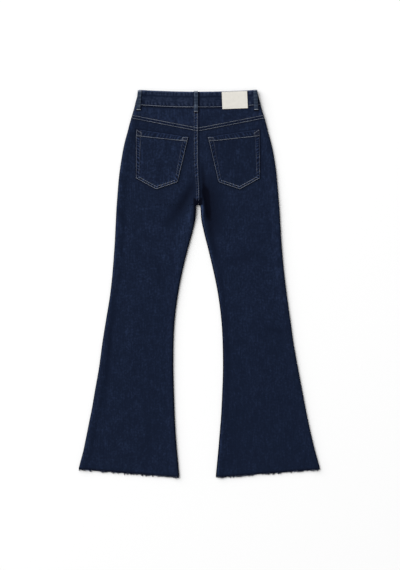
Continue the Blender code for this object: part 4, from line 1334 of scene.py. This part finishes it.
def front_band_row(start, end, count):
    """Stitches along the front waistband's foot, from one place across to another."""
    places = np.linspace(start, end, count)
    return seam_row(places, band_edge(places, FRONT_DIP) + BAND_DEPTH - BAND_ROW)


def band_end(side, stops, rows):
    """Grid over half of the front waistband: close columns at the side's roll, then columns at the stops."""
    rows = np.asarray(rows)[:, None]
    start = side * outseam(rows * BAND_DEPTH)
    rolls = ROLL * (1 - np.cos(np.linspace(0, pi / 2, 8)))
    across = np.hstack([start - side * rolls, np.broadcast_to(stops, (len(rows), len(stops)))])
    return across, band_edge(across, FRONT_DIP) + GAP + rows * (BAND_DEPTH - GAP)


hole_rows = 0.5 + np.array([-1, 1]) * HOLE_HALF / BAND_DEPTH
band_rows = close_ends(BAND_DEPTH, FOLD_ROUND, 12)
rows = np.sort(np.concatenate([band_rows[np.abs(band_rows - 0.5) > 0.09], hole_rows]))
stops = np.concatenate([np.linspace(-0.146, -0.016, 64), HOLE_ENDS, np.linspace(0.007, OVERLAP, 8)])
across, down = band_end(-1, stops, rows)
centres = [(grid[1:, 1:] + grid[:-1, :-1]) / 2 for grid in (across, rows[:, None] + 0 * across)]
hole = (centres[0] > HOLE_ENDS[0]) & (centres[0] < HOLE_ENDS[1]) & (np.abs(centres[1] - 0.5) < 0.05)
band = front_band("waistband_front_left", across, down, hole=hole)
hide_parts("waistband_front_left")
laid(across, down)

stops = np.concatenate([np.linspace(0.146, 0.040, 50), np.linspace(0.038, -UNDERLAP, 34)])
across, down = band_end(1, stops, band_rows)
rise = (BAND_WALL + GAP) * passed(UNDERLAP_RISE, across)
band = front_band("waistband_front_right", across, down, rise)
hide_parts("waistband_front_right")
laid(across, down)

# the front band's row of thread, and the buttonhole's edge of close stitches
band_side = outseam(BAND_DEPTH) - 0.002
left_row = front_band_row(-band_side, OVERLAP - 0.002, 110)
thread("thread_waistband_front_left", [left_row], front_band_face, up=False)
right_row = front_band_row(OVERLAP + 0.016, band_side, 90)
thread("thread_waistband_front_right", [right_row], front_band_face, up=False)
edges = [
    bartack((sum(HOLE_ENDS) / 2, BUTTON_DOWN + off), 0.0, HOLE_ENDS[1] - HOLE_ENDS[0], HOLE_STITCH)
    for off in (-HOLE_HALF - HOLE_STITCH / 2, HOLE_HALF + HOLE_STITCH / 2)
]
edges.append(bartack((HOLE_ENDS[0] - 0.0022, BUTTON_DOWN), pi / 2, 2 * HOLE_HALF + 0.004, HOLE_STITCH))
thread("thread_buttonhole", edges, front_band_face, radius=0.00032, up=False)

# --------------------------------------------------------------------------------------------------
# Belt loops. Strips of denim folded in three, with their edges rubbed pale. Each is tucked into the
# waistband's top edge, stands a little off the band, and is tacked down at its foot with a pale bar.
LOOP_WALL = 0.0016
LOOP_WIDTH = 0.0115
LOOP_STAND = 0.0011
LOOP_CROWN = 0.0007  # how much higher a loop's middle is than its edges
LOOP_ROUND = 0.0009
LOOP_RIB = 0.00012  # of the cloth that is folded in inside it
OVER_BAND = 0.78  # share of a loop's length that is over the band
TACK_SIZE = (LOOP_WIDTH * 0.94, 0.0020)  # a tack's length and height
TOP_TACK_SIZE = (LOOP_WIDTH * 0.86, 0.0018)
TOP_TACK_DOWN = 0.0022  # from the loop's top
FRONT_LOOP_RUBBED = 0.05
LOOP_EDGES = Line(wide=0.16, pale=0.04, at=0.86)  # from its middle line, in shares of half its width
LOOP_FOLD = Line(wide=0.0018, pale=0.45)
# painted shade at a loop's foot end
LOOP_END_SHADE = Line(wide=0.0010, pale=-0.50)
ABOVE_TACK = (0.0120, 0.0048)  # up from the foot, and how far it reaches
# painted highlights and shade on a loop, where its side faces or turns from the light
Rub = namedtuple("Rub", "across down wide long pale")  # from the middle of the loop's top, and its reaches
CENTRE_LIGHT_AND_SHADE = (
    Rub(across=-0.0045, down=0.0090, wide=0.0022, long=0.0042, pale=0.32),
    Rub(across=-0.0016, down=0.0404, wide=0.0022, long=0.0058, pale=0.24),
    Rub(across=0.0034, down=0.0512, wide=0.0034, long=0.0042, pale=-0.26),
)
Loop = namedtuple("Loop", "name top_across foot_across top_down foot_down")
FRONT_LOOPS = (
    Loop("belt_loop_front_left", top_across=-0.0880, foot_across=-0.0900, top_down=0.0105, foot_down=0.0680),
    Loop("belt_loop_front_right", top_across=0.0880, foot_across=0.0900, top_down=0.0105, foot_down=0.0680),
)
BACK_LOOPS = (
    Loop("belt_loop_centre_back", top_across=-0.0061, foot_across=-0.0061, top_down=0.0038, foot_down=0.0630),
    Loop("belt_loop_back_left", top_across=-0.1657, foot_across=-0.1697, top_down=0.0018, foot_down=0.0566),
    Loop("belt_loop_back_right", top_across=0.1633, foot_across=0.1662, top_down=0.0, foot_down=0.0572),
)
# how each back loop is tacked and worn: how far up from its foot and across from its middle the tack is,
# and how pale are its top tack, its tack, the cloth above the tack, its right side (its left, below 0) and
# its painted highlights and shade
Wear = namedtuple("Wear", "tack_up tack_aside top_tack tack above_tack right rubs")
WEARS = (
    Wear(0.0012, 0.0, top_tack=0.40, tack=-0.22, above_tack=0.22, right=0.04, rubs=CENTRE_LIGHT_AND_SHADE),
    Wear(0.0002, 0.0010, top_tack=0.35, tack=0.16, above_tack=0.0, right=0.10, rubs=()),
    Wear(0.0012, 0.0, top_tack=0.15, tack=-0.12, above_tack=0.0, right=0.0, rubs=()),
)
LOOP_DENIM = denim("rubbed indigo denim", 0.0, "#0D121D", "#263040", "#566070", 1.0)


def strip(top, foot, width, columns, rows):
    """Grid of a straight strip, from the middle of its top edge to the middle of its foot."""
    rows = np.asarray(rows)[:, None]
    middle = top[0] * (1 - rows) + foot[0] * rows
    across = middle + width * (np.asarray(columns) - 0.5)
    return across, np.broadcast_to(top[1] * (1 - rows) + foot[1] * rows, across.shape)


def loop_stand(share):
    """How far a loop stands off along its length: half a sine wave over the band, then a step down."""
    arch = LOOP_STAND * np.sin(pi * np.clip(share / OVER_BAND, 0, 1))
    return arch - BAND_PROUD * passed((OVER_BAND, 1), share)


def loop_heights(loop, across, down):
    """Upper and lower heights of a loop: a strip off the waistband, thick and rounded at its edges."""
    share = (down - loop.top_down) / (loop.foot_down - loop.top_down)
    middle = loop.top_across * (1 - share) + loop.foot_across * share
    off = np.abs(across - middle) / (LOOP_WIDTH / 2)
    base = band_base(across, down) + GAP + loop_stand(share)
    edge = rounded((1 - off) * LOOP_WIDTH / 2, LOOP_ROUND)
    end = rounded(np.minimum(share, 1 - share) * (loop.foot_down - loop.top_down), LOOP_ROUND)
    ribs = LOOP_RIB * np.cos(2 * pi * off) - LOOP_RIB + LOOP_CROWN * (1 - off**2)
    return base + LOOP_WALL + ribs - np.maximum(edge, end), base


def loop_top(loop, across, down):
    """Height of a loop's upper face alone."""
    return loop_heights(loop, across, down)[0]


def loop_wear_and_shading(loop, wear, across, down):
    """Where a back loop is paler or darker: its worn edges and fold, painted shade at its foot end, its
    sides, uneven bars along it, and its painted highlights and shade.
    """
    off = np.abs(loop_columns - 0.5) * 2
    rub = drawn(off, LOOP_EDGES) - 0.02 + 0.10 * roped(down, 0 * down, pitch=0.009, reach=1.0)
    rub = rub + wear.above_tack * bell(down - loop.foot_down + ABOVE_TACK[0], ABOVE_TACK[1], 4)
    rub = rub + drawn(down - loop.top_down, LOOP_FOLD) + drawn(loop.foot_down - down, LOOP_END_SHADE)
    rub = rub + wear.right * np.sin(pi * (loop_columns - 0.5))
    for mark in wear.rubs:
        aside = bell(across - loop.top_across - mark.across, mark.wide)
        rub = rub + mark.pale * aside * bell(down - loop.top_down - mark.down, mark.long)
    return rub


def loop_grid(loop):
    """Grid of a loop, from its top to its foot."""
    ends = (loop.top_across, loop.top_down), (loop.foot_across, loop.foot_down)
    return strip(*ends, LOOP_WIDTH, loop_columns, loop_rows)


loop_columns = np.array([0, 0.02, 0.05, 0.10, 0.18, 0.28, 0.39, 0.5, 0.61, 0.72, 0.82, 0.90, 0.95, 0.98, 1])
loop_rows = np.concatenate([[0, 0.004, 0.012], np.linspace(0.022, 0.978, 44), [0.988, 0.996, 1]])
for loop, wear in zip(BACK_LOOPS, WEARS):
    across, down = loop_grid(loop)
    rub = loop_wear_and_shading(loop, wear, across, down)
    piece = cloth(f"cloth_{loop.name}", across, down, *loop_heights(loop, across, down), LOOP_DENIM, rub)
    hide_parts(loop.name)
    laid(across, down)
    tack_middle = loop.foot_across + wear.tack_aside, loop.foot_down - wear.tack_up
    tack = bartack(tack_middle, 0.0, *TACK_SIZE)
    top_tack = bartack((loop.top_across, loop.top_down + TOP_TACK_DOWN), 0.0, *TOP_TACK_SIZE)
    face = partial(loop_top, loop)
    thread(f"thread_{loop.name}", [tack], face, radius=0.00036, worn=wear.tack)
    thread(f"thread_{loop.name}_top", [top_tack], face, radius=0.00026, worn=wear.top_tack)
for loop in FRONT_LOOPS:
    across, down = loop_grid(loop)
    piece = cloth(f"cloth_{loop.name}", across, down, LOOP_WALL, 0.0, LOOP_DENIM, FRONT_LOOP_RUBBED)
    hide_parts(loop.name)
    laid(across, down)

# --------------------------------------------------------------------------------------------------
# Patch. An off-white leatherette rectangle sewn over the waistband on the wearer's right, with a pressed
# groove as a plain border inside its edge. It carries no mark.
PATCH_TOP = (0.1037, 0.0042)
PATCH_FOOT = (0.1058, 0.0538)
PATCH_WIDTH = 0.0726
PATCH_SLANT = -0.0026  # how much further down it is at its right than at its left
PATCH_WALL = 0.0013
BORDER = 0.0034  # in from the edge
BORDER_HALF = 0.0006
BORDER_DEEP = 0.00025
PATCH_ROUND = 0.0006
PATCH_CLEAR = 0.0003  # above the band's puckers
PATCH_CLEAN = 0.04
# painted shade round the patch's edge
PATCH_EDGE_SHADE = Line(wide=0.0007, pale=-0.20)


def patch_edge(across, down):
    """Distance in from the patch's nearest edge."""
    level = down - PATCH_SLANT * (across - PATCH_TOP[0]) / PATCH_WIDTH
    share = (level - PATCH_TOP[1]) / (PATCH_FOOT[1] - PATCH_TOP[1])
    middle = PATCH_TOP[0] * (1 - share) + PATCH_FOOT[0] * share
    side = PATCH_WIDTH / 2 - np.abs(across - middle)
    return np.minimum(side, np.minimum(level - PATCH_TOP[1], PATCH_FOOT[1] - level))


def patch_heights(across, down):
    """Upper and lower heights of the patch: level from the band down, grooved, and rounded at its edge."""
    base = band_base(across, np.minimum(down, BAND_DEPTH)) + GAP + PATCH_CLEAR
    near = patch_edge(across, down)
    groove = BORDER_DEEP * bell(near - BORDER, BORDER_HALF)
    return base + PATCH_WALL - groove - rounded(near, PATCH_ROUND), base


def edge_steps(length, count):
    """Shares of a length: close steps over the rounded edge and the groove at both ends, even between."""
    fine = np.array([0, 0.0001, 0.0004, 0.0008, 0.0018, 0.0024, 0.0027, 0.0030, 0.0033, 0.0036, 0.0042])
    return np.concatenate([fine, np.linspace(0.0055, length - 0.0055, count), length - fine[::-1]]) / length


# Leatherette, a pale film pressed with a fine grain: matt, with a soft, slightly uneven white.
patch_white, tree, shader = finish_of(
    "off-white leatherette", {"Roughness": 0.55, "Specular IOR Level": 0.35}
)
where = add(tree, "ShaderNodeTexCoord").outputs["Object"]
# the grain's cells are 0.9 mm across
grain = add(tree, "ShaderNodeTexVoronoi", {"Vector": where, "Scale": 1100.0}, feature="SMOOTH_F1")
cloudy = add(tree, "ShaderNodeTexNoise", {"Vector": where, "Scale": 150.0, "Detail": 4.0}).outputs["Fac"]
clean = add(tree, "ShaderNodeMath", {0: cloudy, 1: 0.25, 2: 0.75}, operation="MULTIPLY_ADD").outputs["Value"]
# the attribute is a plain tone with painted shade at the patch's edge
tone_and_edge_shade = add(tree, "ShaderNodeAttribute", attribute_name="rubbed").outputs["Fac"]
clean = add(tree, "ShaderNodeMath", {0: clean, 1: tone_and_edge_shade}).outputs["Value"]
tones = {"A": linear("#8F8C86"), "B": linear("#D5D2CA")}
colour = add(tree, "ShaderNodeMix", {"Factor": clean, **tones}, data_type="RGBA")
height = grain.outputs["Distance"]
bump = add(tree, "ShaderNodeBump", {"Height": height, "Strength": 0.35, "Distance": 0.0002})
feed(shader, {"Base Color": colour.outputs["Result"], "Normal": bump.outputs["Normal"]})

rows = edge_steps(PATCH_FOOT[1] - PATCH_TOP[1], 22)
across, down = strip(PATCH_TOP, PATCH_FOOT, PATCH_WIDTH, edge_steps(PATCH_WIDTH, 32), rows)
down = down + PATCH_SLANT * (across - PATCH_TOP[0]) / PATCH_WIDTH
upper, lower = patch_heights(across, down)
tone_and_edge_shade = PATCH_CLEAN + drawn(patch_edge(across, down), PATCH_EDGE_SHADE)
patch = cloth("patch_blank", across, down, upper, lower, patch_white, tone_and_edge_shade)
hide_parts("label_patch")
laid(across, down)

# --------------------------------------------------------------------------------------------------
# Button. A plain stamped brass cap with a rounded rim and a low dome, riveted through the band's button
# end; its shank stands in the buttonhole.
BUTTON_RADIUS = 0.0085
BUTTON_CAP = 0.0032
SHANK_RADIUS = 0.0022

shank_top = front_band_base(0.0, BUTTON_DOWN) + BAND_WALL
Turn = namedtuple("Turn", "radius height")
BUTTON_PROFILE = (
    Turn(0.0, shank_top),
    Turn(SHANK_RADIUS, shank_top),
    Turn(SHANK_RADIUS, BUTTON_CAP),
    Turn(BUTTON_RADIUS - 0.0012, BUTTON_CAP),
    Turn(BUTTON_RADIUS - 0.0003, BUTTON_CAP - 0.0005),
    Turn(BUTTON_RADIUS, BUTTON_CAP - 0.0014),
    Turn(BUTTON_RADIUS - 0.0002, 0.0007),
    Turn(BUTTON_RADIUS - 0.0008, 0.0001),
    Turn(BUTTON_RADIUS - 0.0016, 0.0001),
    Turn(BUTTON_RADIUS - 0.0021, 0.0006),
    Turn(BUTTON_RADIUS - 0.0026, 0.0007),
    Turn(BUTTON_RADIUS / 2, 0.0003),
    Turn(0.0, 0.0001),
)


def turned(profile, count):
    """A profile swept round the vertical through the button: rings of quads, with a fan at each pole."""
    radius, height = np.array(profile[1:-1]).T
    angle = np.arange(count) * 2 * pi / count
    rings = [np.outer(radius, wave).reshape(-1) for wave in (np.cos(angle), np.sin(angle))]
    points = np.column_stack([*rings, np.repeat(height, count)])
    poles = np.array([[0, 0, profile[0].height], [0, 0, profile[-1].height]])
    quads = tube(len(radius), count, flip=True)
    first, last = len(points), len(points) + 1
    side, after = np.arange(count), (np.arange(count) + 1) % count
    fans = [np.stack([side, after, 0 * side + first], axis=1)]
    below = (len(radius) - 1) * count
    fans.append(np.stack([below + after, below + side, 0 * side + last], axis=1))
    return np.concatenate([points, poles]) + points_at(0.0, BUTTON_DOWN, 0.0), quads, np.concatenate(fans)


points, quads, fans = turned(BUTTON_PROFILE, 40)
button = sewn("brass_button", points, [quads, fans], aged_brass)
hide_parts("button")

# --------------------------------------------------------------------------------------------------
# Frayed hems. The legs are cut and not hemmed: the ends of the warp stick out below the cloth in small
# clumps, dyed indigo outside, and short lengths of undyed weft have come loose between them.
FRAY_DEPTH = 0.0074
WARP_COUNT = 1150
WEFT_COUNT = 14
TUFT_WIDTHS = (0.0030, 0.0080)
TUFT_REACHES = (0.34, 1.0)  # shares of the fray's depth
STRAY_SHARE = 0.03  # of the warp ends
STRAY_LONG = 1.35
PALE_SHARE = 0.05
ROOTED = 0.0008  # how far up in the cloth the warp ends start
YARN_RADIUS = 0.00028


def strands(name, path, radius, shade):
    """Joined yarns: each is a four-sided tube on its own path of points, thinner towards its end."""
    count, steps = path.shape[:2]
    run = np.gradient(path, axis=1)
    beside = np.stack([run[..., 1], -run[..., 0], 0 * run[..., 0]], axis=2)
    beside = beside / np.linalg.norm(beside, axis=2, keepdims=True)
    above = np.array([0.0, 0.0, 1.0])
    thick = radius * np.linspace(1, 0.7, steps)[:, None]
    ring = np.stack([path + thick * way for way in (beside, above, -beside, -above)], axis=2)
    end = 4 * (steps - 1)
    caps = [[0, 1, 2, 3], [end + 3, end + 2, end + 1, end]]
    faces = repeated(np.concatenate([tube(steps, 4, flip=True), caps]), 4 * steps, count)
    return sewn(name, ring.reshape(-1, 3), [faces], FRAYED_YARN, np.repeat(shade.reshape(-1), 4))


def loose_yarns(side, face, inwards, long, droop, seed):
    """Paths of a hem's warp ends and of its loose wefts, and how undyed they are at each point.

    They leave the cloth inwards of its face, long is the deepest reach, and their tips droop by a square
    law. The warp ends hang in tufts of random widths. Each tuft has its own reach, which is less at its
    sides, and its yarns lean to its middle. The wefts lie along the hem in short, wavy lengths.
    """
    rng = np.random.default_rng(seed)
    t = np.linspace(0, 1, 4)
    start = np.linspace(HEM_INNER + 0.0006, HEM_OUTER - 0.0006, WARP_COUNT)
    start = start + rng.normal(0, 0.0002, WARP_COUNT)
    ends = HEM_INNER + np.cumsum(rng.uniform(*TUFT_WIDTHS, 110))
    tuft = np.clip(np.searchsorted(ends, start), 1, len(ends) - 1)
    middle, half = (ends[tuft] + ends[tuft - 1]) / 2, (ends[tuft] - ends[tuft - 1]) / 2
    off = np.clip((start - middle) / half, -1, 1)
    reach = long * rng.uniform(*TUFT_REACHES, len(ends))[tuft] * (1 - 0.25 * off**4)
    reach = reach * rng.uniform(0.95, 1.02, WARP_COUNT)
    reach = reach * np.where(rng.uniform(0, 1, WARP_COUNT) < STRAY_SHARE, STRAY_LONG, 1.0)
    lean = -0.20 * off * half + rng.normal(0, 0.0003, WARP_COUNT)
    across = start[:, None] + lean[:, None] * t**1.5
    down = hem(start)[:, None] - ROOTED + (reach[:, None] + ROOTED) * t
    level = face(side * start, hem(start)) + inwards + rng.uniform(-0.0003, 0.0003, WARP_COUNT)
    warp = points_at(side * across, down, level[:, None] - droop * t**2)
    # the dye thins out at a warp's tip, and a few are paler all along
    pale = np.where(rng.uniform(0, 1, WARP_COUNT) < PALE_SHARE, rng.uniform(0.25, 0.6, WARP_COUNT), 0.0)
    undyed = [np.clip(pale[:, None] + 0.12 * t**3, 0, 1), rng.uniform(0.4, 0.8, (WEFT_COUNT, 1)) + 0 * t]

    middle = rng.uniform(HEM_INNER + 0.006, HEM_OUTER - 0.006, WEFT_COUNT)
    across = middle[:, None] + rng.uniform(0.002, 0.0055, WEFT_COUNT)[:, None] * (2 * t - 1)
    wave = rng.uniform(-0.0012, 0.0012, WEFT_COUNT)[:, None] * np.sin(pi * t)
    down = hem(across) + rng.uniform(0.0010, 0.0034, WEFT_COUNT)[:, None] + wave
    weft = points_at(side * across, down, face(side * across, hem(across)) + inwards - droop / 2 + 0.0002)
    return np.concatenate([warp, weft]), np.concatenate(undyed)


# Loose cotton yarns, rope dyed: indigo outside on the warp, and the weft undyed. Matt and a little fuzzy.
FRAYED_YARN, tree, shader = finish_of("frayed cotton yarn", {"Roughness": 0.95, "Specular IOR Level": 0.1})
undyed = add(tree, "ShaderNodeAttribute", attribute_name="rubbed").outputs["Fac"]
where = add(tree, "ShaderNodeTexCoord").outputs["Object"]
# the dye changes over about 2 mm of a yarn
patchy = add(tree, "ShaderNodeTexNoise", {"Vector": where, "Scale": 500.0, "Detail": 2.0}).outputs["Fac"]
faded = add(tree, "ShaderNodeMath", {0: patchy, 1: 0.3, 2: undyed}, operation="MULTIPLY_ADD").outputs["Value"]
lighter = add(tree, "ShaderNodeMath", {0: faded, 1: 0.15}, operation="SUBTRACT", use_clamp=True)
tones = {"A": linear("#070D1E"), "B": linear("#8E9CC0")}
colour = add(tree, "ShaderNodeMix", {"Factor": lighter.outputs["Value"], **tones}, data_type="RGBA")
feed(shader, {"Base Color": colour.outputs["Result"]})

for side, name in SIDES:
    for part, face, inwards, share, droop, seeds in (
        ("back", leg_face, -WALL / 2, 1.0, 0.0012, (11, 12)),
        ("front", front_face, WALL / 2, 0.55, 0.0002, (13, 14)),
    ):
        path, undyed = loose_yarns(side, face, inwards, share * FRAY_DEPTH, droop, seeds[side > 0])
        fringe = strands(f"fray_{part}_{name}", path, YARN_RADIUS, undyed)
        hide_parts(f"hem_fray_{part}_{name}")
